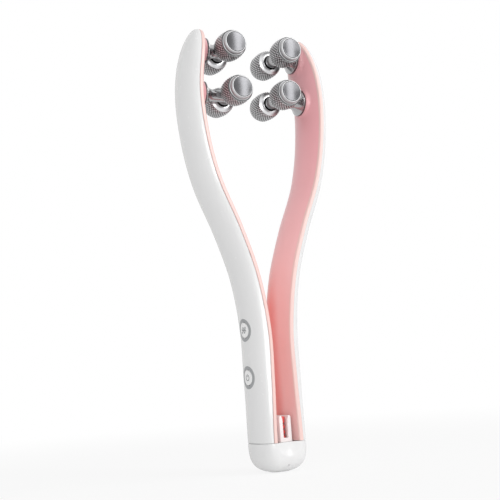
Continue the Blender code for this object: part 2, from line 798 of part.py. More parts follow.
def make_base(finishes):
    cap = make_part("base_cap", cap_body(), finishes["shell"])
    for front, label in ((-1, "front"), (1, "back")):
        combine(cap, scoop_body(front), "DIFFERENCE", f"{label}_scoop")
    slot = strip_body(FIT_GAP, SEAM_HEIGHT + CUT_OVERRUN)
    combine(cap, slot, "DIFFERENCE", "spring_slot")

    port_mouth = ROOT_HALF_WIDTH * cap_reach(PORT_HEIGHT) - PORT_INSET
    port_end = port_mouth - PORT_DEPTH
    pocket = extruded(
        stadium(PORT_HALF_WIDTH + FIT_GAP, PORT_HALF_THICKNESS + FIT_GAP, PORT_HEIGHT,
                port_end - FIT_GAP),
        Vector(), Vector((0, ROOT_HALF_WIDTH + CUT_OVERRUN - port_end, 0)))
    combine(cap, pocket, "DIFFERENCE", "port_pocket")
    port = make_part(
        "charging_port",
        extruded(stadium(PORT_HALF_WIDTH, PORT_HALF_THICKNESS, PORT_HEIGHT, port_end),
                 Vector(), Vector((0, PORT_DEPTH, 0))),
        finishes["steel"])
    throat = extruded(
        stadium(PORT_HALF_WIDTH - PORT_WALL, PORT_HALF_THICKNESS - PORT_WALL, PORT_HEIGHT,
                port_end + PORT_WALL),
        Vector(), Vector((0, PORT_DEPTH + CUT_OVERRUN, 0)))
    combine(port, throat, "DIFFERENCE", "port_throat")
    tongue = block(
        (-PORT_TONGUE_HALF_WIDTH, port_end + PORT_WALL / 2, PORT_HEIGHT - PORT_TONGUE_HALF_THICKNESS),
        (PORT_TONGUE_HALF_WIDTH, port_mouth - PORT_INSET, PORT_HEIGHT + PORT_TONGUE_HALF_THICKNESS))
    combine(port, tongue, "UNION", "port_tongue")

    outward = lamp_direction()
    spot = Vector((0, -ROOT_HALF_WIDTH * cap_reach(LAMP_HEIGHT), LAMP_HEIGHT))
    lamp_end = spot + outward * LAMP_PROUD
    lamp_start = lamp_end - outward * LAMP_LENGTH
    lamp_hole = rod(lamp_start - outward * FIT_GAP, lamp_end + outward * CUT_OVERRUN,
                    LAMP_RADIUS + FIT_GAP, LAMP_SEGMENTS)
    combine(cap, lamp_hole, "DIFFERENCE", "lamp_hole")
    make_part("charge_lamp", rod(lamp_start, lamp_end, LAMP_RADIUS, LAMP_SEGMENTS),
              finishes["lamp"], lamp_start)

    make_part("flex_spring", strip_body(0, SPRING_LEG_TOP), finishes["steel"])
    return cap


def make_slider(finishes):
    """Fork-shaped slider that straddles the notched rack between the arms."""
    floor = SEAM_HEIGHT + FIT_GAP
    bar_top = floor + SLIDER_BAR
    mouth = SLIDER_TOP - SLIDER_MOUTH_DEPTH
    half_outline = [
        (SLIDER_HALF_WIDTH, floor),
        (SLIDER_HALF_WIDTH, SLIDER_TOP - SLIDER_CORNER),
        (SLIDER_HALF_WIDTH - SLIDER_CORNER, SLIDER_TOP),
        (SLIDER_MOUTH_HALF_WIDTH, SLIDER_TOP),
        (SLIDER_SLOT_HALF_WIDTH, mouth),
        (SLIDER_SLOT_HALF_WIDTH, bar_top),
    ]
    outline = [Vector((x, 0, z)) for x, z in half_outline]
    outline += [Vector((-x, 0, z)) for x, z in reversed(half_outline)]
    length = Vector((0, SLIDER_HALF_LENGTH, 0))
    slider = make_part("tension_slider", extruded(outline, -length, length), finishes["shell"],
                       Vector((0, 0, floor)))
    wing_low = floor + WING_EDGE_INSET
    wing_high = SLIDER_TOP - WING_EDGE_INSET
    for side, label in ((-1, "left"), (1, "right")):
        edges = sorted((side * (SLIDER_SLOT_HALF_WIDTH + SLIDER_CORNER), side * WING_HALF_WIDTH))
        wing = block((edges[0], -WING_HALF_LENGTH, wing_low), (edges[1], WING_HALF_LENGTH, wing_high))
        combine(slider, wing, "UNION", f"slider_{label}_wing")
    window = block(
        (-RACK_HALF_WIDTH - FIT_GAP, -RACK_HALF_LENGTH - FIT_GAP, floor - CUT_OVERRUN),
        (RACK_HALF_WIDTH + FIT_GAP, RACK_HALF_LENGTH + FIT_GAP, SLIDER_TOP + CUT_OVERRUN))
    combine(slider, window, "DIFFERENCE", "slider_rack_window")

    rack_outline = [(-RACK_HALF_LENGTH, floor)]
    front = []
    for i in range(NOTCH_COUNT):
        middle = NOTCH_FIRST + i * NOTCH_PITCH
        front += [(RACK_HALF_LENGTH, middle - NOTCH_HALF_HEIGHT),
                  (RACK_HALF_LENGTH - NOTCH_DEPTH, middle),
                  (RACK_HALF_LENGTH, middle + NOTCH_HALF_HEIGHT)]
    rack_outline += [(-y, z) for y, z in front]
    rack_outline += [(-RACK_HALF_LENGTH, RACK_TOP), (RACK_HALF_LENGTH, RACK_TOP)]
    rack_outline += list(reversed(front))
    rack_outline.append((RACK_HALF_LENGTH, floor))
    outline = [Vector((0, y, z)) for y, z in rack_outline]
    across = Vector((RACK_HALF_WIDTH, 0, 0))
    make_part("detent_rack", extruded(outline, -across, across), finishes["rack"])


def inner_depth(height, across):
    """Distance of the shell's inner wall from the rim plane, at a place across the arm."""
    reach = across / (half_width(height) - SHELL_WALL)
    share = (1 - reach ** SECTION_POWER) ** (1 / SECTION_POWER)
    return (shell_depth(height) - SHELL_WALL) * share


def inner_wall(low, high):
    """Farthest place of a panel's inner wall from the middle plane between two heights."""
    heights = [low + (high - low) * i / ARM_STATIONS for i in range(ARM_STATIONS + 1)]
    return max(half_gap(height) for height in heights) + PANEL_WALL


def draped(shape, height, start):
    """Lets the points of a left-hand body that lie past a plane follow the shell's face.

    Each such point moves inwards by as much as the face has fallen from its crest there.
    """
    verts, faces = shape
    crest = half_gap(height) + shell_depth(height)
    moved = []
    for point in verts:
        drop = Vector()
        if -point.x > start:
            share = (1 - (abs(point.y) / half_width(point.z)) ** SECTION_POWER)
            face = half_gap(point.z) + shell_depth(point.z) * share ** (1 / SECTION_POWER)
            drop.x = crest - face
        moved.append(point + drop)
    return moved, faces


def make_buttons(shell, pivot, finishes):
    """Two ringed buttons in the left shell, with their switches and the circuit board."""
    board_start = inner_wall(BOARD_BOTTOM, BOARD_TOP) + FIT_GAP
    board_end = board_start + BOARD_THICKNESS
    board = block((-board_end, -BOARD_HALF_WIDTH, BOARD_BOTTOM),
                  (-board_start, BOARD_HALF_WIDTH, BOARD_TOP))
    make_part("circuit_board", board, finishes["board"], pivot.location, pivot)

    outward = Vector((-1, 0, 0))
    for label, height in (("mode", MODE_BUTTON_HEIGHT), ("power", POWER_BUTTON_HEIGHT)):
        crest = half_gap(height) + shell_depth(height)
        ring_top = crest + RING_PROUD
        ring_bottom = ring_top - RING_THICKNESS
        bore = BUTTON_RADIUS + FIT_GAP
        centre = Vector((0, 0, height))
        edge = RING_RADIUS + FIT_GAP
        pocket = [(ring_bottom - FIT_GAP, BUTTON_RADIUS), (ring_bottom - FIT_GAP, edge),
                  (crest + CUT_OVERRUN, edge), (crest + CUT_OVERRUN, BUTTON_RADIUS)]
        pocket = draped(turned(pocket, BUTTON_SEGMENTS, centre, outward, True), height, 0)
        combine(shell, pocket, "DIFFERENCE", f"{label}_ring_pocket")
        hole = rod(centre + outward * (crest - SHELL_WALL - CUT_OVERRUN),
                   centre + outward * (crest + CUT_OVERRUN), bore, BUTTON_SEGMENTS)
        combine(shell, hole, "DIFFERENCE", f"{label}_button_hole")

        ring = [(ring_bottom, bore), (ring_bottom, RING_RADIUS),
                (ring_top - RING_BEVEL, RING_RADIUS), (ring_top, RING_RADIUS - RING_BEVEL),
                (ring_top, bore)]
        ring = draped(turned(ring, BUTTON_SEGMENTS, centre, outward, True), height, 0)
        make_part(f"{label}_button_ring", ring, finishes["trim"],
                  centre + outward * ring_bottom, pivot)

        flange_top = half_gap(height) + inner_depth(height, BUTTON_FLANGE_RADIUS) - FIT_GAP
        flange_bottom = flange_top - BUTTON_FLANGE_THICKNESS
        top = crest + BUTTON_PROUD
        button = [(flange_bottom, BUTTON_FLANGE_RADIUS), (flange_top, BUTTON_FLANGE_RADIUS),
                  (flange_top, BUTTON_RADIUS), (top - BUTTON_DOME, BUTTON_RADIUS),
                  (top, BUTTON_RADIUS - BUTTON_DOME), (top, BUTTON_RADIUS / 2), (top, 0)]
        button = draped(turned(button, BUTTON_SEGMENTS, centre, outward), height, flange_top)
        make_part(f"{label}_button", button, finishes["shell"],
                  centre + outward * flange_bottom, pivot)

        plunger_end = flange_bottom - BUTTON_TRAVEL - FIT_GAP
        switch = switch_body(height, board_end + SOLDER_GAP, plunger_end)
        make_part(f"{label}_switch", switch, finishes["switch"], pivot.location, pivot)


def switch_body(height, start, end):
    """Square switch with a smaller square plunger that points at its button."""
    rings = []
    shoulder = end - SWITCH_PLUNGER_HEIGHT
    levels = ((start, SWITCH_HALF_SIZE), (shoulder, SWITCH_HALF_SIZE),
              (shoulder, SWITCH_PLUNGER_HALF_SIZE), (end, SWITCH_PLUNGER_HALF_SIZE))
    for reach, size in levels:
        corners = ((-size, -size), (size, -size), (size, size), (-size, size))
        rings.append([Vector((-reach, y, height + z)) for y, z in corners])
    return loft(rings)


def make_battery(pivot, finishes):
    start = inner_wall(BATTERY_BOTTOM, BATTERY_TOP) + FIT_GAP
    cell = block((start, -BATTERY_HALF_WIDTH, BATTERY_BOTTOM),
                 (start + BATTERY_THICKNESS, BATTERY_HALF_WIDTH, BATTERY_TOP))
    battery = make_part("battery_cell", cell, finishes["battery"], pivot.location, pivot)
    bevel = battery.modifiers.new("rounded_edges", "BEVEL")
    bevel.width = BATTERY_ROUNDING
    bevel.segments = 1


def make_finishes():
    return {
        "shell": make_material("gloss_white", (0.86, 0.86, 0.85), 0.22, 0),
        "panel": make_material("satin_pink", (0.86, 0.42, 0.44), 0.38, 0),
        "rack": make_material("coral_red", (0.80, 0.16, 0.14), 0.40, 0),
        "metal": make_material("knurled_chrome", (0.60, 0.60, 0.61), 0.28, 1),
        "polish": make_material("polished_chrome", (0.70, 0.70, 0.71), 0.14, 1),
        "steel": make_material("plain_steel", (0.50, 0.50, 0.51), 0.35, 1),
        "gasket": make_material("dark_gasket", (0.06, 0.05, 0.05), 0.60, 0),
        "trim": make_material("grey_trim", (0.42, 0.43, 0.44), 0.35, 0),
        "lamp": make_material("grey_lens", (0.55, 0.56, 0.58), 0.25, 0),
        "board": make_material("green_board", (0.04, 0.22, 0.09), 0.50, 0),
        "switch": make_material("black_switch", (0.03, 0.03, 0.03), 0.50, 0),
        "battery": make_material("battery_wrap", (0.55, 0.57, 0.60), 0.40, 0),
    }


def main():
    clear_scene()
    finishes = make_finishes()
    make_base(finishes)
    make_slider(finishes)
    shells = {}
    pivots = {}
    for side, name in ((-1, "left"), (1, "right")):
        spot = Vector((side * SPRING_LEG_OFFSET, 0, SEAM_HEIGHT))
        pivots[name] = make_pivot(f"{name}_arm_pivot", spot)
        shells[name] = make_arm(side, name, pivots[name], finishes)[0]
        for level, height, offset in heads():
            make_head(side, name, level, height, offset, pivots[name], finishes)
    make_buttons(shells["left"], pivots["left"], finishes)
    make_battery(pivots["right"], finishes)
    bpy.context.view_layer.update()


main()
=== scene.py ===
"""Face roller of two bowed arms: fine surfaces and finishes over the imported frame."""
import json
import math

import bmesh
import bpy
import numpy as np
from bpy.props import FloatProperty, FloatVectorProperty, IntProperty, PointerProperty
from mathutils import Matrix, Quaternion, Vector


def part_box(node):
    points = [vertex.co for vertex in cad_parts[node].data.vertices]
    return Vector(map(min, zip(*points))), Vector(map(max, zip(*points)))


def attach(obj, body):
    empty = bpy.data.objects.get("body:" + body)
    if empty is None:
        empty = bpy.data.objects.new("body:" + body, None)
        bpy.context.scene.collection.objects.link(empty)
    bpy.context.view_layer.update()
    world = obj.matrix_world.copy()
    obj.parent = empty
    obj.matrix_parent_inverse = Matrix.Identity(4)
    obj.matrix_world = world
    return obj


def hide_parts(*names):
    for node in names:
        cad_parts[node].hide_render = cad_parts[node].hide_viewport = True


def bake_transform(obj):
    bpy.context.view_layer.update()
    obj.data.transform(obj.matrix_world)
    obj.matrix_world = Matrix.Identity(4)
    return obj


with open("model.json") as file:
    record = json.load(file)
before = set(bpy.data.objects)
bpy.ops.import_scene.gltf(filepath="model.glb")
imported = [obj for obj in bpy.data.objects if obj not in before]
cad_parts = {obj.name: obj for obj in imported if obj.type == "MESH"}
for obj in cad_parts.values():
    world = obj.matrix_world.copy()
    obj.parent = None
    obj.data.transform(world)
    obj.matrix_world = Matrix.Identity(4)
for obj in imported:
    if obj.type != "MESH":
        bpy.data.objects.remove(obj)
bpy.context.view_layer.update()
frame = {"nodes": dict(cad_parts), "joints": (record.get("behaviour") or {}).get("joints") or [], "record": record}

bl_info = {
    "name": "Face Roller",
    "version": (1, 0, 0),
    "blender": (4, 5, 0),
    "location": "View3D > Sidebar > Face Roller",
    "description": "Builds the visible surfaces, finishes and stage of a two-armed face roller",
    "category": "Object",
}

SIDES = (("left", -1), ("right", 1))
LEVELS = ("upper", "lower")
ENDS = (("front", -1), ("back", 1))
NODES = frame["nodes"]
JOINTS = {joint["name"]: joint for joint in frame["joints"]}
FINISHES = {}

# The mark of the knurled metal, which leads its painted highlights, shade and reflections: 0 to 1 up the knurl,
# and these values on its plain parts
DOME_MARK = 2.0
COLLAR_MARK = -1.0
GROOVE_MARK = 0.05
WELL_MARK = 0.2
BARREL_END_MARK = 0.4

# Fine lengths in metres
MERGE_DISTANCE = 2e-6       # points nearer than this become one
SLIVER_WIDTH = 1e-6         # faces narrower than this are dropped
FINE_GRAIN = 0.00001        # height of the grain of a moulded surface
HAIR = 0.0001               # smallest step and smallest rounding in a profile
TRIM_EDGE = 0.00008         # bevel of the buttons and their rings

# Heights and depths in metres between which the panels' painted shade comes in
MAUVE_RISE = (0.05, 0.16)
GAP_SHADE_FRONT = (-0.003, 0.0065)
GAP_SHADE_BACK = (0.0075, 0.0135)
GAP_SHADE_TOP = (0.07, 0.1)

# Points round each round shape
ROUND = {"hole": 64, "gasket": 64, "crossbar": 64, "stem": 72, "disc": 72, "lamp": 40,
         "button": 96, "floor": 96, "inlet": 48}


# Properties

def number(name, description, default, **more):
    """A number that a user may change, with the unit that is given."""
    return FloatProperty(name=name, description=description, default=default, **more)


def length(name, description, default):
    """A length in metres."""
    return number(name, description, default, precision=5, unit="LENGTH", subtype="DISTANCE")


def angle(name, description, degrees):
    """An angle, given in degrees and held in radians."""
    return number(name, description, math.radians(degrees), subtype="ANGLE", unit="ROTATION")


def watts(name, description, default):
    """The power of a lamp in watts."""
    return number(name, description, default, unit="POWER")


def colour(name, description, default):
    """A linear colour."""
    return FloatVectorProperty(name=name, description=description, default=default, size=3,
                               min=0, max=1, subtype="COLOR")


def count(name, description, default):
    """A whole number of rows, columns or points."""
    return IntProperty(name=name, description=description, default=default, min=3)


class ArmSizes(bpy.types.PropertyGroup):
    total_height: length("Total height", "Height of the arms' tips", 0.1990)
    seam_height: length("Seam height", "Height of the seam on the base cap", 0.0126)
    seam_gap: length("Seam gap", "Width of the seam", 0.0004)
    waist_height: length("Waist height", "Height of the narrowest place", 0.03906)
    fork_height: length("Fork height", "Height at which the arms part", 0.062)
    widest_height: length("Widest height", "Height of the widest place", 0.1725)
    root_gap: length("Root gap", "Half of the gap at the seam", 0.0054)
    waist_gap: length("Waist gap", "Half of the gap at the waist", 0.0046)
    widest_gap: length("Widest gap", "Half of the gap at the widest place", 0.0295)
    tip_gap: length("Tip gap", "Half of the gap at the tips", 0.0244)
    root_width: length("Root width", "Half width of an arm at the seam", 0.0111)
    top_width: length("Top width", "Half width of an arm at its widest place", 0.0118)
    root_depth: length("Root depth", "Depth of a shell at the seam", 0.0066)
    grip_depth: length("Grip depth", "Depth of a shell at the grip", 0.0078)
    bow_depth: length("Bow depth", "Depth of a shell at the bow", 0.0072)
    tip_depth: length("Tip depth", "Depth of a shell at the tip", 0.0070)
    grip_height: length("Grip height", "Height of the deepest place", 0.049972)
    bow_height: length("Bow height", "Height where the bow starts to slim", 0.090)
    grip_crown: length("Grip crown", "Crown of a panel at the grip", 0.0003)
    pad_crown: length("Pad crown", "Crown of a panel at the rollers", 0.0033)
    pad_height: length("Pad height", "Height where the full crown starts", 0.100)
    tip_width_rounding: length("Tip width rounding", "Height of the tip's round outline", 0.0212)
    tip_depth_rounding: length("Tip depth rounding", "Height of the tip's round back", 0.0178)
    rim_thickness: length("Rim thickness", "Thickness of a panel's rim", 0.0016)
    rim_rounding: length("Rim rounding", "Radius of a panel's rim", 0.0008)
    # Width over which the rim's painted sheen fades into the pink
    rim_sheen_fade: length("Lip fade", "Width over which the pale rim turns pink", 0.0005)
    seam_depth: length("Seam depth", "Depth of the seam between a shell and its panel", 0.00008)
    mouth_gap: length("Mouth gap", "Gap between a shell and its panel", 0.0002)
    mouth_rounding: length("Mouth rounding", "Radius of a shell's mouth edge", 0.00018)
    seat_radius: length("Seat radius", "Radius of the flat seat of a stem", 0.00605)
    seat_blend: length("Seat blend", "Width of the slope round a seat", 0.0014)
    seat_rise: length("Seat rise", "Rise of a seat above the crown", 0.0005)
    section_power: number("Section power", "Power of the shell's superellipse", 2.1)
    rows: count("Rows", "Rows of points along an arm", 200)
    tip_rows: count("Tip rows", "Rows of points round a tip", 28)
    columns: count("Columns", "Points across a shell", 61)


class HeadSizes(bpy.types.PropertyGroup):
    stem_neck: length("Stem neck", "Radius of a stem's neck", 0.0027)
    stem_rim: length("Stem rim", "Radius of a stem's trumpet foot", 0.0060)
    stem_rim_height: length("Stem rim height", "Thickness of the foot's edge", 0.0004)
    flare: length("Flare", "Length of a stem's flare", 0.0058)
    bar_radius: length("Bar radius", "Radius of a cross bar", 0.0030)
    bar_half: length("Bar half length", "Half length of a cross bar", 0.0079)
    gasket_radius: length("Gasket radius", "Radius of a gasket", 0.00608)
    gasket_thickness: length("Gasket thickness", "Thickness of a gasket", 0.0004)
    inner_end: length("Inner end", "Place of a roller's inner end", 0.0043)
    outer_end: length("Outer end", "Place of a roller's outer end", 0.0156)
    dome_radius: length("Dome radius", "Radius of the polished dome of the inner end", 0.0053)
    dome_depth: length("Dome depth", "Fall of the dome from its top to its edge", 0.0006)
    shoulder_radius: length("Shoulder radius", "Radius at the ends of the barrel", 0.00615)
    barrel_radius: length("Barrel radius", "Radius at the middle of the barrel", 0.00665)
    shoulder: length("Shoulder", "Place of the barrel's start from the inner end", 0.0010)
    barrel_end: length("Barrel end", "Place where the knurl ends", 0.01335)
    neck_place: length("Neck place", "Place of the groove by the collar", 0.0137)
    neck_radius: length("Neck radius", "Radius of that groove", 0.0052)
    collar_radius: length("Collar radius", "Radius of the collar", 0.0054)
    collar_start: length("Collar start", "Start of the collar", 0.0141)
    collar_end: length("Collar end", "End of the collar", 0.0150)
    end_radius: length("End radius", "Radius of the bevelled end", 0.00495)
    cap_radius: length("Cap radius", "Radius of an end cap", 0.00445)
    cap_proud: length("Cap proud", "How far an end cap stands out", 0.0003)
    cap_dome: length("Cap dome", "Height of an end cap's shallow dome", 0.00022)
    pocket_gap: length("Pocket gap", "Gap round an end cap", 0.00022)
    recess_depth: length("Recess depth", "Depth of the well inside the dome", 0.0039)
    recess_radius: length("Recess radius", "Radius of that well", 0.0034)
    knurl_depth: length("Knurl depth", "Depth of the knurl's grooves", 0.00034)
    knurl_round: count("Knurl round", "Diamonds round a roller", 30)
    knurl_along: count("Knurl along", "Diamonds along a roller", 5)
    knurl_steps: count("Knurl steps", "Points to each diamond", 8)


class BaseSizes(bpy.types.PropertyGroup):
    cap_power: number("Cap power", "Power of the cap's round underside", 3.0)
    flat_share: number("Flat share", "Share of the outline that is cut flat", 0.36)
    edge: length("Edge", "Radius of the cap's upper edge", 0.00015)
    scoop_width: length("Scoop width", "Half width of the scoops", 0.0052)
    scoop_depth: length("Scoop depth", "Depth of the scoops", 0.0012)
    scoop_bottom: length("Scoop bottom", "Height of the scoops' lowest point", 0.0062)
    scoop_edge: length("Scoop edge", "Width over which a scoop's edge is rounded", 0.0003)
    seam_plug: length("Seam plug", "Rise of the plug that closes the seam", 0.00027)
    port_height: length("Port height", "Height of the charging inlet", 0.0054)
    port_width: length("Port width", "Half width of the inlet's opening", 0.0048)
    port_thickness: length("Port thickness", "Half height of the inlet's opening", 0.0019)
    port_depth: length("Port depth", "Depth of the inlet", 0.0065)
    lamp_height: length("Lamp height", "Height of the charge lamp", 0.0031)
    lamp_radius: length("Lamp radius", "Radius of the charge lamp", 0.0007)
    lamp_slope: number("Lamp slope", "Downward slope of the lamp's face", 0.62)
    slider_bevel: length("Slider bevel", "Radius of the slider's edges", 0.00025)
    arm_swing: angle("Arm swing", "Angle to which an arm opens", 3.5)
    spring_bottom: length("Spring bottom", "Height of the spring's underside", 0.0081)
    spring_top: length("Spring top", "Height of the spring's ends", 0.031)
    spring_reach: length("Spring reach", "Distance from the middle to a leg of the spring", 0.0084)
    spring_corner: length("Spring corner", "Bend radius of the spring's middle line", 0.0016)
    spring_thickness: length("Spring thickness", "Thickness of the spring", 0.0007)
    spring_width: length("Spring width", "Half width of the spring", 0.005)
    spring_edge: length("Spring edge", "Width of the spring's bevelled edges", 0.00012)


class ButtonSizes(bpy.types.PropertyGroup):
    mode_height: length("Mode height", "Height of the upper button", 0.062186)
    power_height: length("Power height", "Height of the lower button", 0.041416)
    cap_radius: length("Cap radius", "Radius of a button", 0.0033)
    hole_radius: length("Hole radius", "Radius of the hole in the shell", 0.0036)
    ring_radius: length("Ring radius", "Outer radius of a ring", 0.00505)
    ring_proud: length("Ring proud", "Rise of a ring above the shell", 0.0001)
    cap_proud: length("Cap proud", "Rise of a button above the shell", 0.00015)
    skirt: length("Skirt", "Depth of a button's and a ring's sides", 0.0012)
    icon_width: length("Icon width", "Width of an icon's line", 0.00042)
    icon_radius: length("Icon radius", "Radius of the power icon", 0.0013)
    icon_proud: length("Icon proud", "Rise of an icon above its button", 0.00003)


class Finishes(bpy.types.PropertyGroup):
    white: colour("White", "Outer shells and base cap", (0.84, 0.84, 0.84))
    button: colour("Button", "Button caps", (0.95, 0.95, 0.95))
    pink: colour("Pink", "Inner panels at the grip", (0.98, 0.63, 0.61))
    # Painted shade: the darker tone of the panels towards the rollers
    mauve: colour("Mauve", "Inner panels at the rollers", (0.93, 0.47, 0.50))
    # Painted shade: the panels' tone where the gap is deepest
    gap_shade: colour("Painted gap shade", "Inner panels in the depth of the grip", (1.0, 0.27, 0.23))
    # Painted sheen: the paler tone of the panels' rounded rim
    rim_sheen: colour("Lip", "Pale rim of the inner panels", (0.90, 0.64, 0.60))
    coral: colour("Coral", "Notched rack", (0.83, 0.09, 0.08))
    chrome: colour("Chrome", "Rollers and stems", (0.29, 0.29, 0.295))
    polish: colour("Polish", "End caps", (0.105, 0.105, 0.11))
    steel: colour("Steel", "Hidden hardware", (0.50, 0.50, 0.51))
    gasket: colour("Gasket", "Gaskets under the stems", (0.05, 0.045, 0.045))
    trim: colour("Trim", "Button rings", (0.36, 0.37, 0.38))
    icon: colour("Icon", "Icons on the buttons", (0.30, 0.31, 0.32))
    lens: colour("Lens", "Charge lamp", (0.66, 0.65, 0.66))
    # Its pale pink tint is painted bounce light from the pink panels
    slider: colour("Slider", "Tension slider", (0.90, 0.84, 0.83))
    board: colour("Board", "Circuit board", (0.04, 0.22, 0.09))
    switch: colour("Switch", "Switch bodies", (0.03, 0.03, 0.03))
    battery: colour("Battery", "Battery cell", (0.55, 0.57, 0.60))


class StageSettings(bpy.types.PropertyGroup):
    key_power: watts("Key power", "Soft lamp at the right of the front", 4.0)
    strip_power: watts("Strip power", "Tall narrow lamp at the front", 4.6)
    fill_power: watts("Fill power", "Soft low lamp at the left of the front", 5.4)
    sky_level: number("Sky level", "Even light from all round", 0.54)
    floor_glow: number("Floor glow", "Share of white near the object", 0.85, min=0, max=1)
    floor_near: length("Floor near", "Distance at which the floor starts to whiten", 0.12)
    floor_far: length("Floor far", "Distance from which the floor is white", 0.5)
    lens: number("Lens", "Focal length of the camera in millimetres", 65.72, unit="CAMERA")
    azimuth: angle("Azimuth", "Turn of the camera about the upright", 28.61)
    elevation: angle("Elevation", "Upward tilt of the camera", 7.75)
    roll: angle("Roll", "Roll of the camera", -4.14)
    place: FloatVectorProperty(name="Place", description="Place of the camera", size=3,
                               default=(-0.20128, -0.35717, 0.04273), unit="LENGTH",
                               subtype="TRANSLATION", precision=5)


# Places on the object, as functions of the height

BOW_SHARES = ((0.22, 0.149), (0.41, 0.423), (0.61, 0.783), (0.80, 0.963))


def smooth_curve(knots, places):
    """Cubic through the knots, with each slope taken from its two neighbours.

    The first slope is level. Between knots the value is the Hermite blend of the two heights
    and the two slopes.
    """
    knots = np.asarray(knots)
    xs, ys = knots.T
    slopes = np.zeros(len(xs))
    slopes[1:-1] = (ys[2:] - ys[:-2]) / (xs[2:] - xs[:-2])
    slopes[-1] = (ys[-1] - ys[-2]) / (xs[-1] - xs[-2])
    places = np.clip(places, xs[0], xs[-1])
    low = np.clip(np.searchsorted(xs, places, side="right") - 1, 0, len(xs) - 2)
    span = xs[low + 1] - xs[low]
    t = (places - xs[low]) / span
    rise = ys[low] * (1 + 2 * t) * (1 - t) ** 2 + ys[low + 1] * t * t * (3 - 2 * t)
    return rise + span * (slopes[low] * t * (1 - t) ** 2 + slopes[low + 1] * t * t * (t - 1))


def ease(values, start, end):
    """Rises from 0 to 1 between two places, level at both: 3t^2 - 2t^3."""
    t = np.clip((values - start) / (end - start), 0, 1)
    return t * t * (3 - 2 * t)


class ArmShape:
    """Line, section and crown of the arms, worked out from the arm sizes."""

    def __init__(self, sizes):
        self.sizes = sizes
        rise = sizes.widest_height - sizes.fork_height
        spread = sizes.widest_gap - sizes.waist_gap
        self.gap_knots = [
            (sizes.seam_height, sizes.root_gap),
            (sizes.waist_height, sizes.waist_gap),
            (sizes.fork_height, sizes.waist_gap),
            *((sizes.fork_height + share * rise, sizes.waist_gap + out * spread)
              for share, out in BOW_SHARES),
            (sizes.widest_height, sizes.widest_gap),
            (sizes.total_height, sizes.tip_gap),
        ]
        self.depth_knots = [
            (sizes.seam_height, sizes.root_depth),
            (sizes.grip_height, sizes.grip_depth),
            (sizes.bow_height, sizes.bow_depth),
            (sizes.total_height, sizes.tip_depth),
        ]

    def half_gap(self, z):
        """Distance of the arm's line from the middle, by its knots."""
        return smooth_curve(self.gap_knots, z)

    def depth(self, z):
        """Distance of the shell's crest from the arm's line, by its knots."""
        return smooth_curve(self.depth_knots, z)

    def half_width(self, z):
        """Grows evenly from the root to the widest place, and is level above it."""
        sizes = self.sizes
        share = (z - sizes.seam_height) / (sizes.widest_height - sizes.seam_height)
        return sizes.root_width + np.clip(share, 0, 1) * (sizes.top_width - sizes.root_width)

    def crown(self, z):
        """Height of the panel's arch, which eases from the grip's to the rollers'."""
        sizes = self.sizes
        swell = ease(z, sizes.fork_height, sizes.pad_height)
        return sizes.grip_crown + (sizes.pad_crown - sizes.grip_crown) * swell

    def tip_round(self, z, rounding):
        """Quarter ellipse that closes the tip: sqrt(1 - share^2) over the last stretch."""
        share = np.clip((z - self.sizes.total_height + rounding) / rounding, 0, 1)
        return np.sqrt(1 - share * share)

    def heights(self):
        """Even rows up to the tip, then rows that are even by the angle of its ellipse."""
        sizes = self.sizes
        start = sizes.seam_height + sizes.seam_gap
        bend = sizes.total_height - sizes.tip_width_rounding
        even = np.linspace(start, bend, sizes.rows, endpoint=False)
        turn = np.linspace(0, math.pi / 2, sizes.tip_rows)
        return np.concatenate([even, bend + sizes.tip_width_rounding * np.sin(turn)])

    def outward(self, z, side):
        """Unit normals of the arm's line, out of the gap, one for each height."""
        step = 0.001        # metres over which the slope is taken
        slope = (self.half_gap(z + step) - self.half_gap(z - step)) / (2 * step)
        slope = np.where(z <= self.sizes.seam_height + self.sizes.seam_gap, 0, slope)
        size = np.sqrt(1 + slope * slope)
        return np.stack([side / size, 0 * size, -slope / size], axis=-1)

    def place(self, z, side, out, across):
        """Points at a distance out of the arm's line and across it, for a grid of both."""
        z, out, across = np.broadcast_arrays(z, out, across)
        foot = np.stack([side * self.half_gap(z), across, z], axis=-1)
        return foot + self.outward(z, side) * out[..., None]

    def shell_out(self, z, across):
        """Distance of the outer surface from the rim plane: a superellipse across the arm."""
        share = np.clip(np.abs(across) / self.half_width(z), 0, 1)
        power = self.sizes.section_power
        return self.depth(z) * (1 - share ** power) ** (1 / power)

    def on_left_shell(self, across, z, proud):
        """Points at a rise above the left shell, which lies its half gap plus its arc out."""
        out = self.half_gap(z) + self.shell_out(z, across) + proud
        return np.stack([-out, across, z], axis=-1)


def heads():
    """Arm, side, label and middle of each roller head, from its front roller's axis."""
    for name, side in SIDES:
        for level in LEVELS:
            label = f"{name}_{level}"
            x, _, z = JOINTS[label + "_front_spin"]["pos_m"]
            yield name, side, label, (x, 0.0, z)


# Meshes

def ring_faces(rows, columns, first):
    """Quads between neighbouring rows of a grid whose columns run round."""
    index = first + np.arange(rows * columns).reshape(rows, columns)
    after = np.roll(index, -1, axis=1)
    quads = np.stack([index[:-1], after[:-1], after[1:], index[1:]], axis=-1)
    return quads.reshape(-1, 4).tolist()


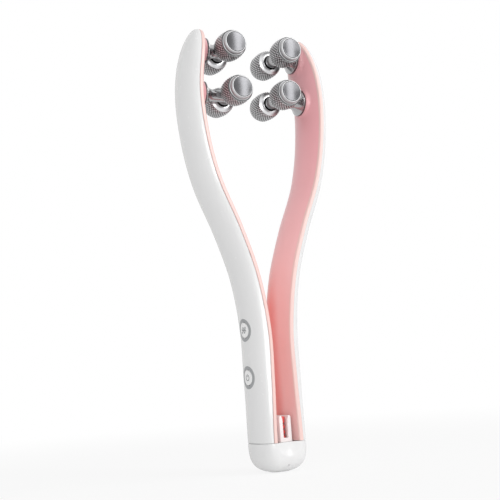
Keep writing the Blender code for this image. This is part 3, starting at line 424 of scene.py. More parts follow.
def build_mesh(name, grids, sharp_angle=35.0, marks=None):
    """Mesh of closed bodies, each a grid of rings with a flat or pointed end.

    Rings that shrink to a point are merged there. Marks are a value for each grid point and
    become the attribute "mark".
    """
    verts = []
    faces = []
    for grid in grids:
        rows, columns = grid.shape[:2]
        first = sum(len(part) for part in verts)
        last = first + (rows - 1) * columns
        verts.append(grid.reshape(-1, 3))
        faces += ring_faces(rows, columns, first)
        faces += [list(range(first, first + columns))[::-1], list(range(last, last + columns))]
    mesh = bpy.data.meshes.new(name)
    mesh.from_pydata(np.concatenate(verts), [], faces)
    if marks is not None:
        mark = mesh.attributes.new("mark", "FLOAT", "POINT")
        mark.data.foreach_set("value", np.concatenate([m.ravel() for m in marks]))
    return finish_mesh(mesh, sharp_angle)


def finish_mesh(mesh, sharp_angle=35.0):
    """Cleans a mesh and shades it smooth, but for edges sharper than an angle in degrees."""
    clean_mesh(mesh)
    mesh.shade_smooth()
    mesh.set_sharp_from_angle(angle=math.radians(sharp_angle))
    return mesh


def clean_mesh(mesh):
    """Merges doubled points, drops faces without area and turns all faces outwards."""
    work = bmesh.new()
    work.from_mesh(mesh)
    bmesh.ops.remove_doubles(work, verts=work.verts, dist=MERGE_DISTANCE)
    bmesh.ops.dissolve_degenerate(work, edges=work.edges, dist=SLIVER_WIDTH)
    bmesh.ops.recalc_face_normals(work, faces=work.faces)
    work.to_mesh(mesh)
    work.free()


def add_object(name, data):
    """Puts a mesh, a lamp or a camera into the scene as an object."""
    item = bpy.data.objects.new(name, data)
    bpy.context.scene.collection.objects.link(item)
    return item


def add_piece(name, mesh, slot, body, *nodes, finish=None):
    """Puts a mesh into the scene as a piece that rides on a body and stands for its nodes.

    Its finish is the one of its slot unless another is named. A piece without a body is left unattached.
    """
    piece = add_object(name, mesh)
    mesh.materials.clear()
    mesh.materials.append(FINISHES[finish or slot].material)
    if body:
        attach(piece, body)
    if nodes:
        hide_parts(*nodes)
    return piece


def cut(mesh, name, cutters):
    """Mesh with the cutters' bodies taken out of it, as a finished mesh."""
    piece = add_object(name, mesh)
    tools = [add_object(name + "_tool", cutter) for cutter in cutters]
    for tool in tools:
        step = piece.modifiers.new("cut", "BOOLEAN")
        step.operation = "DIFFERENCE"
        step.solver = "EXACT"
        step.object = tool
    bpy.context.view_layer.update()
    graph = bpy.context.evaluated_depsgraph_get()
    result = bpy.data.meshes.new_from_object(piece.evaluated_get(graph))
    for item in [piece, *tools]:
        bpy.data.objects.remove(item)
    result.name = name
    return result


def turned(profile, segments, centre, axis, relief=None):
    """Surface of revolution: points of a profile (place along, radius) carried round an axis.

    The relief, if any, is added to the radius at each row and angle.
    """
    axis = Vector(axis).normalized()
    first = axis.orthogonal().normalized()
    second = axis.cross(first)
    along, radius = np.asarray(profile).T
    turn = np.linspace(0, 2 * math.pi, segments, endpoint=False)
    spoke = np.cos(turn)[:, None] * np.array(first) + np.sin(turn)[:, None] * np.array(second)
    reach = np.repeat(radius[:, None], segments, axis=1)
    if relief is not None:
        reach = reach + relief
    shaft = np.array(centre) + along[:, None, None] * np.array(axis)
    return shaft + reach[..., None] * spoke[None]


def rounded(profile, radius, steps=4):
    """Profile with each inner corner replaced by a curve that starts a radius before it.

    The curve is the quadratic blend (1-t)^2 a + 2t(1-t) corner + t^2 b.
    """
    points = [Vector(point) for point in profile]
    result = [points[0]]
    for before, corner, after in zip(points, points[1:], points[2:]):
        reach = min(radius, (before - corner).length / 2, (after - corner).length / 2)
        start = corner + (before - corner).normalized() * reach
        end = corner + (after - corner).normalized() * reach
        for t in np.linspace(0, 1, steps + 1):
            result.append(start * (1 - t) ** 2 + corner * 2 * t * (1 - t) + end * t * t)
    result.append(points[-1])
    return [tuple(point) for point in result]


# Finishes

class Wire:
    """An output socket in an expression: each operator adds the Math node it stands for."""

    def __init__(self, nodes, socket):
        self.nodes = nodes
        self.socket = socket

    def __add__(self, other):
        return self.nodes.math("ADD", self, other)

    def __sub__(self, other):
        return self.nodes.math("SUBTRACT", self, other)

    def __mul__(self, other):
        return self.nodes.math("MULTIPLY", self, other)

    def __pow__(self, other):
        return self.nodes.math("POWER", self, other)

    def __rsub__(self, other):
        return self.nodes.math("SUBTRACT", other, self)

    __radd__ = __add__
    __rmul__ = __mul__


class Nodes:
    """Adds nodes to a tree and feeds their sockets."""

    def __init__(self, tree):
        self.tree = tree

    def feed(self, socket, value):
        """Links a wire to a socket, or sets the socket's own value."""
        if isinstance(value, Wire):
            self.tree.links.new(value.socket, socket)
            return
        if socket.type == "RGBA" and len(tuple(value)) == 3:
            value = (*value, 1)
        socket.default_value = value

    def node(self, kind, sockets=None, output=0, **settings):
        """Any node: its settings come first, then the values or links of its sockets."""
        node = self.tree.nodes.new(kind)
        for name, value in settings.items():
            setattr(node, name, value)
        for key, value in (sockets or {}).items():
            self.feed(node.inputs[key], value)
        return Wire(self, node.outputs[output])

    def math(self, operation, first, second=0.0, **settings):
        """A Math node on one or two numbers."""
        return self.node("ShaderNodeMath", {0: first, 1: second}, operation=operation, **settings)

    def step(self, value, low, high):
        """Smooth step of a value from 0 at low to 1 at high."""
        return self.node("ShaderNodeMapRange", {"Value": value, "From Min": low, "From Max": high},
                         interpolation_type="SMOOTHSTEP")

    def mix(self, factor, first, second):
        """Blend of two colours."""
        return self.node("ShaderNodeMix", {0: factor, 6: first, 7: second}, 2, data_type="RGBA")

    def place(self):
        """Object coordinates, which are metres in the object's own frame."""
        return self.node("ShaderNodeTexCoord", output="Object")

    def axes(self):
        """The three object coordinates as numbers."""
        split = self.node("ShaderNodeSeparateXYZ", {0: self.place()}).socket.node
        return tuple(Wire(self, output) for output in split.outputs)

    def noise(self, scale, detail=3.0, stretch=None):
        """Cloudy noise in object space, stretched where asked."""
        place = self.place()
        if stretch:
            place = self.node("ShaderNodeMapping", {"Vector": place, "Scale": stretch})
        return self.node("ShaderNodeTexNoise", {"Vector": place, "Scale": scale, "Detail": detail})

    def facing(self, low, high):
        """Smooth step towards the outline, from 0 where the surface faces the viewer."""
        return self.step(self.node("ShaderNodeLayerWeight", {"Blend": 0.5}, "Facing"), low, high)

    def attribute(self, name):
        """A value that the mesh holds for each point."""
        return self.node("ShaderNodeAttribute", output="Fac", attribute_name=name)

    def seen(self):
        """1 for rays from the camera, off metal or through glass, and 0 for scattered light."""
        camera, glossy, clear = (self.node("ShaderNodeLightPath", output=f"Is {ray} Ray")
                                 for ray in ("Camera", "Glossy", "Transmission"))
        return self.math("ADD", camera + glossy, clear, use_clamp=True)


class Finish(Nodes):
    """A material with a Principled shader and the nodes that feed it."""

    def __init__(self, name, base, roughness, metallic=0.0, coat=0.0):
        self.material = bpy.data.materials.new(name)
        self.material.use_nodes = True
        super().__init__(self.material.node_tree)
        self.shader = self.tree.nodes["Principled BSDF"]
        self.set("Metallic", metallic)
        self.set("Coat Weight", coat)
        self.skin(base, roughness)

    def set(self, socket, value):
        """Sets or links a socket of the shader."""
        self.feed(self.shader.inputs[socket], value)

    def skin(self, base, roughness):
        """Sets or links the colour and the roughness."""
        self.set("Base Color", base)
        self.set("Roughness", roughness)

    def bump(self, height, distance, strength=0.5):
        """Raises the surface by the height, which is 0 to 1, times a distance in metres."""
        self.set("Normal", self.node("ShaderNodeBump", {"Height": height, "Distance": distance,
                                                        "Strength": strength}))


def shade(base, share):
    """A colour made darker, or lighter where the share is above 1."""
    return tuple(min(channel * share, 1) for channel in base)


def moulded_plastic(name, base, roughness, coat=0.0):
    """Injection moulded plastic: a faint cloud in the colour, painted shade towards the outline, soft gloss
    changes and grain.
    """
    finish = Finish(name, base, roughness, coat=coat)
    body = finish.mix(finish.noise(60.0, 2.0), shade(base, 0.985), shade(base, 1.015))
    # Painted shade: the colour darkens to 0.72 of itself where the surface turns away towards the outline
    finish.skin(finish.mix(finish.facing(0.7, 1.0), body, shade(base, 0.72)),
                finish.noise(420.0, 4.0) * 0.07 + (roughness - 0.035))
    finish.bump(finish.noise(2600.0), FINE_GRAIN, 0.4)
    return finish


def panel_plastic(tones):
    """Satin pink with a paler rim, a painted sheen, led by the mark that runs to 1 at the edge.

    It turns from pink at the grip to a darker mauve at the rollers, which is painted shade, with a band of painted
    shade, deeper and redder, low in the gap.
    """
    finish = Finish("satin_pink_panel", tones.pink, 0.34, coat=0.12)
    finish.set("Coat Roughness", 0.18)
    _, back, up = finish.axes()
    # Painted shade: a darker mauve up towards the rollers
    body = finish.mix(finish.step(up, *MAUVE_RISE), tones.pink, tones.mauve)
    # Painted shade: a deeper, redder pink where the gap is deepest and low between the arms
    inner = finish.step(back, *GAP_SHADE_FRONT) * (1 - finish.step(back, *GAP_SHADE_BACK))
    body = finish.mix(inner * (1 - finish.step(up, *GAP_SHADE_TOP)), body, tones.gap_shade)
    body = finish.mix(finish.noise(45.0, 2.0) * 0.12, body, shade(tones.pink, 0.8))
    # Painted sheen: the rim, marked towards 1 at its edge, is paler
    rim = finish.step(finish.attribute("mark"), 0.25, 0.9)
    finish.skin(finish.mix(rim, body, tones.rim_sheen), finish.noise(500.0, 4.0) * 0.08 + 0.32)
    finish.bump(finish.noise(3000.0), FINE_GRAIN)
    return finish


def knurled_metal(tones):
    """Chromed metal with painted light, led by the mark of the knurl's height: painted highlights on the knurl's
    tops, painted shade in its grooves, its recesses and towards the outline, and painted reflections on the collar
    and the dome.
    """
    finish = Finish("knurled_chrome", tones.chrome, 0.22, metallic=1.0)
    mark = finish.attribute("mark")
    # Painted highlight on the knurl's tops and painted shade in its grooves, its well, its pocket and the groove
    # by the collar
    tops = finish.step(mark, 0.2, 0.52)
    body = finish.mix(tops, shade(tones.chrome, 0.08), shade(tones.chrome, 2.7))
    # Painted shade: the chrome darkens towards the outline
    body = finish.mix(finish.facing(0.5, 0.95), body, shade(tones.chrome, 0.25))
    # Painted reflection: the smooth collar is a lighter copy of the chrome, with a little more roughness
    collar = 1 - finish.step(mark, 0.9 * COLLAR_MARK, 0.3 * COLLAR_MARK)
    body = finish.mix(collar, body, shade(tones.chrome, 1.8))
    # Painted reflection: the polished dome is 2.9 times the chrome where it faces the viewer, and darkens to the
    # chrome as it turns away, a bright crescent
    hollow = finish.step(mark, 0.6 * DOME_MARK, 0.8 * DOME_MARK)
    dome = finish.mix(finish.facing(0.08, 0.3), shade(tones.chrome, 2.9), tones.chrome)
    body = finish.mix(hollow, body, dome)
    gloss = 0.30 - mark * 0.06 + finish.noise(900.0) * 0.08
    finish.skin(finish.mix(finish.noise(220.0) * 0.25, body, shade(tones.chrome, 0.8)),
                gloss + hollow * 0.1 + collar * 0.06)
    finish.bump(finish.noise(4200.0, 2.0), 0.6 * FINE_GRAIN)
    return finish


def smooth_metal(name, base, roughness, scratch=0.1):
    """Polished or plain metal with fine turned marks and small changes of gloss."""
    finish = Finish(name, base, roughness, metallic=1.0)
    lines = finish.noise(900.0, 4.0, (1.0, 6.0, 1.0))
    finish.skin(finish.mix(lines * scratch * 4, base, shade(base, 0.8)),
                lines * scratch + (roughness - scratch / 2))
    finish.bump(finish.noise(3200.0, 2.0), 0.4 * FINE_GRAIN, 0.4)
    return finish


def rubber(name, base):
    """Dull rubber, mottled in tone, gloss and height by one cloud."""
    finish = Finish(name, base, 0.6)
    cloud = finish.noise(900.0)
    finish.skin(finish.mix(cloud, shade(base, 0.7), shade(base, 1.4)), cloud * 0.2 + 0.5)
    finish.bump(cloud, 2 * FINE_GRAIN)
    return finish


def board_finish(name, base):
    """Solder mask over woven glass: traces as thin lighter bands along and across."""
    finish = Finish(name, base, 0.4, coat=0.3)
    _, across, up = finish.axes()
    wave = finish.math("SINE", up * 2400.0 + finish.math("SINE", across * 900.0) * 2.0)
    trace = finish.step(wave, 0.55, 0.75)
    finish.skin(finish.mix(trace, base, shade(base, 1.8)), 0.45 - trace * 0.15)
    finish.bump(trace, 3 * FINE_GRAIN)
    return finish


def lens_finish(name, base):
    """Frosted lens with a faint cloud in its tone and gloss."""
    finish = Finish(name, base, 0.2, coat=0.6)
    cloud = finish.noise(1800.0, 2.0)
    finish.skin(finish.mix(cloud, shade(base, 0.9), shade(base, 1.1)), cloud * 0.1 + 0.15)
    return finish


def make_finishes(tones):
    """Fills the table of finishes, by the names of the slots and of two shades of white."""
    FINISHES.update({
        "gloss_white": moulded_plastic("gloss_white_shell", tones.white, 0.26, coat=0.25),
        "button_white": moulded_plastic("button_white", tones.button, 0.3, coat=0.25),
        # The slider's pink tint is painted bounce light from the panels
        "slider_white": moulded_plastic("slider_white", tones.slider, 0.3, coat=0.25),
        "satin_pink": panel_plastic(tones),
        "coral_red": moulded_plastic("coral_red_rack", tones.coral, 0.38),
        "knurled_chrome": knurled_metal(tones),
        "stem_chrome": smooth_metal("stem_chrome", shade(tones.chrome, 1.45), 0.2),
        "polished_chrome": smooth_metal("polished_chrome", tones.polish, 0.18, 0.04),
        "plain_steel": smooth_metal("plain_steel", tones.steel, 0.35, 0.12),
        "dark_gasket": rubber("dark_gasket", tones.gasket),
        "grey_trim": moulded_plastic("grey_trim_ring", tones.trim, 0.32),
        "icon_grey": moulded_plastic("icon_grey", tones.icon, 0.5),
        "grey_lens": lens_finish("grey_lens", tones.lens),
        "green_board": board_finish("green_board", tones.board),
        "black_switch": moulded_plastic("black_switch", tones.switch, 0.45),
        "battery_wrap": smooth_metal("battery_wrap", tones.battery, 0.4, 0.15),
    })


# Operators

class BuildOperator:
    """Shared settings of the operators that build the pieces."""
    bl_options = {"REGISTER", "UNDO"}


class ROLLER_OT_finishes(BuildOperator, bpy.types.Operator):
    """Makes the finishes and gives every frame node the one of its slot"""
    bl_idname = "roller.finishes"
    bl_label = "Finishes"

    def execute(self, context):
        make_finishes(context.scene.roller_finishes)
        for entry in frame["record"]["subparts"]:
            for slot in NODES[entry["node"]].material_slots:
                slot.material = FINISHES[entry["material_slot"]].material
        return {"FINISHED"}


class ROLLER_OT_shells(BuildOperator, bpy.types.Operator):
    """Builds the outer shells, whose section is a superellipse cut off at the mouth"""
    bl_idname = "roller.shells"
    bl_label = "Outer shells"
    CURL_POINTS = 7         # points round each curled edge of the mouth
    LEAST_TIP = 0.02        # share of its depth that the shell keeps at the very tip
    REST = 0.8              # least rise of the arc over the mouth, in radii of the curl
    HOLE_REACH = 2.2        # depth of a button's hole, in skirts of the button

    def section(self, shape, z):
        """Distance out and place across for each height: the outer arc and the curled mouth.

        The arc is the superellipse (depth cos^(2/n) a, width sin^(2/n) a) between the two
        places where it meets the mouth plane. Each of its ends turns inwards by a half circle
        of the mouth's radius.
        """
        sizes = shape.sizes
        power = sizes.section_power
        mouth = sizes.rim_thickness + sizes.mouth_gap
        depth = shape.depth(z)
        widest = np.arccos((mouth / depth) ** (power / 2))
        turn = widest * np.linspace(-1, 1, sizes.columns)
        swing = np.sin(turn)
        across = np.sign(swing) * shape.half_width(z) * np.abs(swing) ** (2 / power)
        edge = sizes.mouth_rounding
        arc = np.maximum(depth * np.abs(np.cos(turn)) ** (2 / power),
                         mouth + self.REST * edge)
        turn = np.linspace(0, math.pi, self.CURL_POINTS)
        limit = np.abs(across[:, -1:]) - edge * (1 - np.cos(turn)) - edge / 2
        curl = mouth + edge * (1 - np.sin(turn)) + 0 * limit
        inner = mouth + 2 * edge + 0 * arc[:, :1]
        last = limit[:, -1:] - edge
        return (np.concatenate([curl[:, ::-1], arc, curl, inner, inner], axis=1),
                np.concatenate([-limit[:, ::-1], across, limit, last, -last], axis=1))

    def hole(self, shape, buttons, height):
        """Round bar through the left shell, for a button."""
        crest = float(shape.half_gap(height) + shape.depth(height))
        bar = [(crest - self.HOLE_REACH * buttons.skirt, buttons.hole_radius),
               (crest + buttons.skirt, buttons.hole_radius)]
        return build_mesh("hole", [turned(bar, ROUND["hole"], (0, 0, height), (-1, 0, 0))])

    def execute(self, context):
        shape = ArmShape(context.scene.roller_arms)
        sizes = shape.sizes
        buttons = context.scene.roller_buttons
        z = shape.heights()[:, None]
        out, across = self.section(shape, z)
        # Towards the tip the distance is drawn in to the mouth plane, and the width to nothing
        mouth = sizes.rim_thickness + sizes.mouth_gap
        out = mouth + (out - mouth) * np.maximum(
            shape.tip_round(z, sizes.tip_depth_rounding), self.LEAST_TIP)
        across = across * shape.tip_round(z, sizes.tip_width_rounding)
        for name, side in SIDES:
            grid = shape.place(z, side, out, across)
            mesh = build_mesh(name + "_shell", [grid], sharp_angle=40.0)
            holes = [self.hole(shape, buttons, height)
                     for height in (buttons.mode_height, buttons.power_height) if side < 0]
            if holes:
                mesh = cut(mesh, name + "_shell", holes)
            add_piece(name + "_shell", mesh, "gloss_white", name + "_arm",
                      name + "_outer_shell")
        return {"FINISHED"}


class ROLLER_OT_panels(BuildOperator, bpy.types.Operator):
    """Builds the crowned inner panels with their rims, painted paler as a sheen, and the flat seats of the stems
    """
    bl_idname = "roller.panels"
    bl_label = "Inner panels"
    FRONT_POINTS = 49
    RIM_POINTS = 7
    LEAST_WIDTH = 1e-5
    PLUG_SHARE = 0.8        # rise of the plug in the shell's mouth, as a share of the gap

    def execute(self, context):
        shape = ArmShape(context.scene.roller_arms)
        sizes = shape.sizes
        z = shape.heights()[:, None]
        narrow = shape.tip_round(z, sizes.tip_width_rounding)
        width = np.maximum(shape.half_width(z) * narrow, self.LEAST_WIDTH)
        corner = np.minimum(sizes.rim_rounding, width / 2)
        # Front: a parabola across the panel, -crown (1 - share^2), level with the rim's arc
        share = np.linspace(-1, 1, self.FRONT_POINTS)[None]
        front_across = share * (width - corner)
        front_out = -shape.crown(z) * narrow ** 2 * (1 - share * share) + 0 * z
        front_out = self.seated(shape, z, front_across, front_out)
        # Rim: a quarter circle from the front to the side
        turn = np.linspace(0, math.pi / 2, self.RIM_POINTS)[None, 1:]
        rim_across = width - corner + corner * np.sin(turn)
        rim_out = corner * (1 - np.cos(turn))
        # Back: a low plug, set in from the side, that stands in the shell's mouth
        back = sizes.rim_thickness + 0 * width
        plug = back + sizes.mouth_gap * self.PLUG_SHARE
        side_in = width - np.minimum(sizes.seam_depth, width / 2)
        out = np.concatenate([back, rim_out[:, ::-1], front_out, rim_out, back,
                              back, plug, plug, back], axis=1)
        across = np.concatenate([-width, -rim_across[:, ::-1], front_across, rim_across, width,
                                 side_in, side_in, -side_in, -side_in], axis=1)
        # The mark runs to 1 at the rim's edge, where the finish paints a pale sheen
        mark = np.clip(1 - (width - corner - np.abs(across)) / sizes.rim_sheen_fade, 0, 1)
        for name, side in SIDES:
            grid = shape.place(z, side, out, across)
            mesh = build_mesh(name + "_panel", [grid], sharp_angle=50.0, marks=[mark])
            add_piece(name + "_panel", mesh, "satin_pink", name + "_arm",
                      name + "_inner_panel")
        return {"FINISHED"}

    def seated(self, shape, z, across, out):
        """Raises a flat round seat for each stem, blended into the crown by a smooth step."""
        sizes = shape.sizes
        normal = shape.outward(z, 1)
        for height in (hub[2] for _, side, _, hub in heads() if side < 0):
            narrow = shape.tip_round(height, sizes.tip_width_rounding)
            crest = shape.half_gap(height) - shape.crown(height) * narrow ** 2
            face = float(crest) - sizes.seat_rise
            reach = np.sqrt((z + normal[..., 2] * out - height) ** 2 + across ** 2)
            flat = (face - shape.half_gap(z)) / normal[..., 0]
            blend = 1 - ease(reach, sizes.seat_radius, sizes.seat_radius + sizes.seat_blend)
            out = out + (flat - out) * blend
        return out


class ROLLER_OT_stems(BuildOperator, bpy.types.Operator):
    """Builds the trumpet stems with their cross bars, and the gaskets under them"""
    bl_idname = "roller.stems"
    bl_label = "Stems and gaskets"
    FLARE_POINTS = 25
    FLARE_POWER = 2.6       # how late the trumpet opens
    RIM_START = 0.9         # place of the rim's edge, in its thickness from the front
    RIM_INSET = 0.8         # inner radius of the rim's front, as a share of its radius
    BAR_BORE = 0.0016       # radius of the axle's hole in the cross bar's ends
    BAR_EDGE = 0.0003
    GASKET_EDGE = 0.00012

    def execute(self, context):
        sizes = context.scene.roller_heads
        for name, side, label, hub in heads():
            low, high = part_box(label + "_gasket")
            seat = min(abs(low.x), abs(high.x)) - abs(hub[0])
            start = seat + sizes.gasket_thickness / 2
            end = seat + sizes.gasket_thickness * 2
            ring = rounded([(start, sizes.stem_neck), (start, sizes.gasket_radius),
                            (end, sizes.gasket_radius), (end, sizes.stem_neck)],
                           self.GASKET_EDGE)
            stem = [turned(self.trumpet(sizes, start), ROUND["stem"], hub, (side, 0, 0)),
                    turned(self.crossbar(sizes), ROUND["crossbar"], hub, (0, 1, 0))]
            add_piece(label + "_stem_body", build_mesh(label + "_stem_body", stem),
                      "knurled_chrome", name + "_arm", label + "_stem", finish="stem_chrome")
            gasket = build_mesh("gasket", [turned(ring, ROUND["gasket"], hub, (side, 0, 0))])
            add_piece(label + "_gasket_ring", gasket, "dark_gasket", name + "_arm",
                      label + "_gasket")
        return {"FINISHED"}

    def trumpet(self, sizes, reach):
        """Profile of a stem: from the neck the radius grows to the rim as share^power."""
        share = np.linspace(0, 1, self.FLARE_POINTS)
        along = reach - sizes.stem_rim_height - sizes.flare + share * sizes.flare
        radius = sizes.stem_neck + (sizes.stem_rim - sizes.stem_neck) * share ** self.FLARE_POWER
        rim = [(reach - self.RIM_START * sizes.stem_rim_height, sizes.stem_rim),
               (reach, sizes.stem_rim), (reach, self.RIM_INSET * sizes.stem_rim)]
        return [(0, sizes.stem_neck), *zip(along, radius), *rounded(rim, HAIR)]

    def crossbar(self, sizes):
        """Profile of the bar through the rollers: a plain cylinder with rounded edges."""
        half = sizes.bar_half
        return rounded([(-half, self.BAR_BORE), (-half, sizes.bar_radius),
                        (half, sizes.bar_radius), (half, self.BAR_BORE)], self.BAR_EDGE)


class ROLLER_OT_rollers(BuildOperator, bpy.types.Operator):
    """Builds the knurled rollers and their polished end caps"""
    bl_idname = "roller.rollers"
    bl_label = "Rollers"
    WELL_EDGE = 0.0002      # chamfer at the well's foot and mouth
    WELL_FLAT = 0.9         # share of the well's radius that its floor is flat
    DOME_POINTS = 9
    SHOULDER_EDGE = 0.0006
    SHOULDER_STEPS = 12
    COLLAR_EDGE = 0.00012
    COLLAR_STEPS = 3
    # The groove by the collar is marked for a line of painted shade
    GROOVE_HALF = 0.00022   # half width of the dark line by the collar
    POCKET_DEPTH = 0.0008
    CAP_THICKNESS = 0.0009
    CAP_DOMED = 0.97        # share of an end cap's radius that is domed
    CAP_POINTS = 12
    SAMPLES = 200           # points along the barrel's line before its rows are made even
    SHOULDER_SAMPLES = 20   # those of them that the rounded shoulder takes up

    def profile(self, sizes):
        """Well, dome, barrel, collar and pocket of a roller, as five runs of points.

        The dome falls by depth share^2 from its well to its edge. The barrel rises steeply
        from there, swells by 1 - (2 share - 1)^2, and its rows are even along its line.
        """
        foot = sizes.inner_end + sizes.recess_depth
        well = [(foot, 0.0), (foot, sizes.recess_radius * self.WELL_FLAT),
                (foot - self.WELL_EDGE, sizes.recess_radius),
                (sizes.inner_end + self.WELL_EDGE, sizes.recess_radius)]
        share = np.linspace(0, 1, self.DOME_POINTS)
        reach = sizes.recess_radius + HAIR + share * (sizes.dome_radius - sizes.recess_radius)
        dome = list(zip(sizes.inner_end + sizes.dome_depth * share ** 2, reach))
        start = sizes.inner_end + sizes.shoulder
        share = np.linspace(0, 1, self.SAMPLES)
        bulge = sizes.barrel_radius - sizes.shoulder_radius
        line = np.stack([start + share * (sizes.barrel_end - start),
                         sizes.shoulder_radius + bulge * (1 - (2 * share - 1) ** 2)], axis=-1)
        line = line[self.SHOULDER_SAMPLES:]
        edge = rounded([(dome[-1][0] + HAIR / 2, dome[-1][1] + 2 * HAIR),
                        (start, sizes.shoulder_radius), line[0]],
                       self.SHOULDER_EDGE, self.SHOULDER_STEPS)
        line = np.concatenate([edge[:-1], line])
        reach = np.concatenate([[0], np.cumsum(np.linalg.norm(np.diff(line, axis=0), axis=1))])
        rows = np.linspace(0, reach[-1], sizes.knurl_along * sizes.knurl_steps + 1)
        barrel = list(zip(*(np.interp(rows, reach, values) for values in line.T)))
        pocket_radius = sizes.cap_radius + sizes.pocket_gap
        outer = rounded([(sizes.barrel_end, sizes.shoulder_radius),
                         (sizes.barrel_end + HAIR, sizes.neck_radius + 2 * HAIR),
                         (sizes.neck_place, sizes.neck_radius),
                         (sizes.collar_start, sizes.collar_radius),
                         (sizes.collar_end, sizes.collar_radius),
                         (sizes.outer_end, sizes.end_radius),
                         (sizes.outer_end, pocket_radius)],
                        self.COLLAR_EDGE, self.COLLAR_STEPS)[1:]
        pocket = [(sizes.outer_end - HAIR, pocket_radius),
                  (sizes.outer_end - self.POCKET_DEPTH, pocket_radius),
                  (sizes.outer_end - self.POCKET_DEPTH, 0.0)]
        return well, dome, barrel, outer, pocket

    def execute(self, context):
        sizes = context.scene.roller_heads
        well, dome, barrel, outer, pocket = self.profile(sizes)
        segments = sizes.knurl_round * sizes.knurl_steps
        profile = well + dome + barrel + outer + pocket
        # Knurl: two families of helical grooves; the height is the lower of two triangle waves
        row = np.arange(len(barrel))[:, None] / sizes.knurl_steps
        column = np.arange(segments)[None] / sizes.knurl_steps
        waves = [1 - np.abs(2 * ((column + lean * row) % 1) - 1) for lean in (1, -1)]
        height = np.minimum(*waves)
        ends = np.clip(np.minimum(row, row[::-1]) * 2, 0, 1)
        relief = np.zeros((len(profile), segments))
        start = len(well) + len(dome)
        rows = slice(start, start + len(barrel))
        relief[rows] = -sizes.knurl_depth * (1 - height) * ends
        # The marks lead the painted light of the knurled finish: the knurl's height paints its tops light and its
        # grooves dark; the groove by the collar, the well and the pocket are marked for painted shade, the collar
        # and the dome for painted reflections
        middle = (sizes.neck_place + sizes.collar_start) / 2
        collar = [GROOVE_MARK if abs(along - middle) < self.GROOVE_HALF else COLLAR_MARK
                  for along, _ in outer]
        plain = [WELL_MARK] * len(well) + [DOME_MARK] * len(dome) + [0.0] * len(barrel)
        plain += collar + [0.0] * len(pocket)
        mark = np.repeat(np.array(plain)[:, None], segments, axis=1)
        mark[rows] = height * ends + BARREL_END_MARK * (1 - ends)
        cap = self.cap(sizes)
        for _, _, head, hub in heads():
            for end, direction in ENDS:
                label, axis = f"{head}_{end}", (0, direction, 0)
                barrel = turned(profile, segments, hub, axis, relief)
                mesh = build_mesh(label + "_barrel", [barrel], sharp_angle=50.0, marks=[mark])
                add_piece(label + "_barrel", mesh, "knurled_chrome", label + "_wheel",
                          label + "_roller")
                mesh = build_mesh(label + "_disc", [turned(cap, ROUND["disc"], hub, axis)])
                add_piece(label + "_disc", mesh, "polished_chrome", label + "_wheel",
                          label + "_end_cap")
        return {"FINISHED"}

    def cap(self, sizes):
        """Profile of an end cap: a shallow dome, proud + dome (1 - share^2), on a disc."""
        share = np.linspace(0, 1, self.CAP_POINTS)
        end = sizes.outer_end + sizes.cap_proud - sizes.cap_dome
        dome = list(zip(end + sizes.cap_dome * (1 - share ** 2),
                        sizes.cap_radius * self.CAP_DOMED * share))
        back = end - self.CAP_THICKNESS
        return dome + rounded([dome[-1], (end, sizes.cap_radius), (back, sizes.cap_radius),
                               (back, 0.0)], HAIR, self.COLLAR_STEPS)[1:]


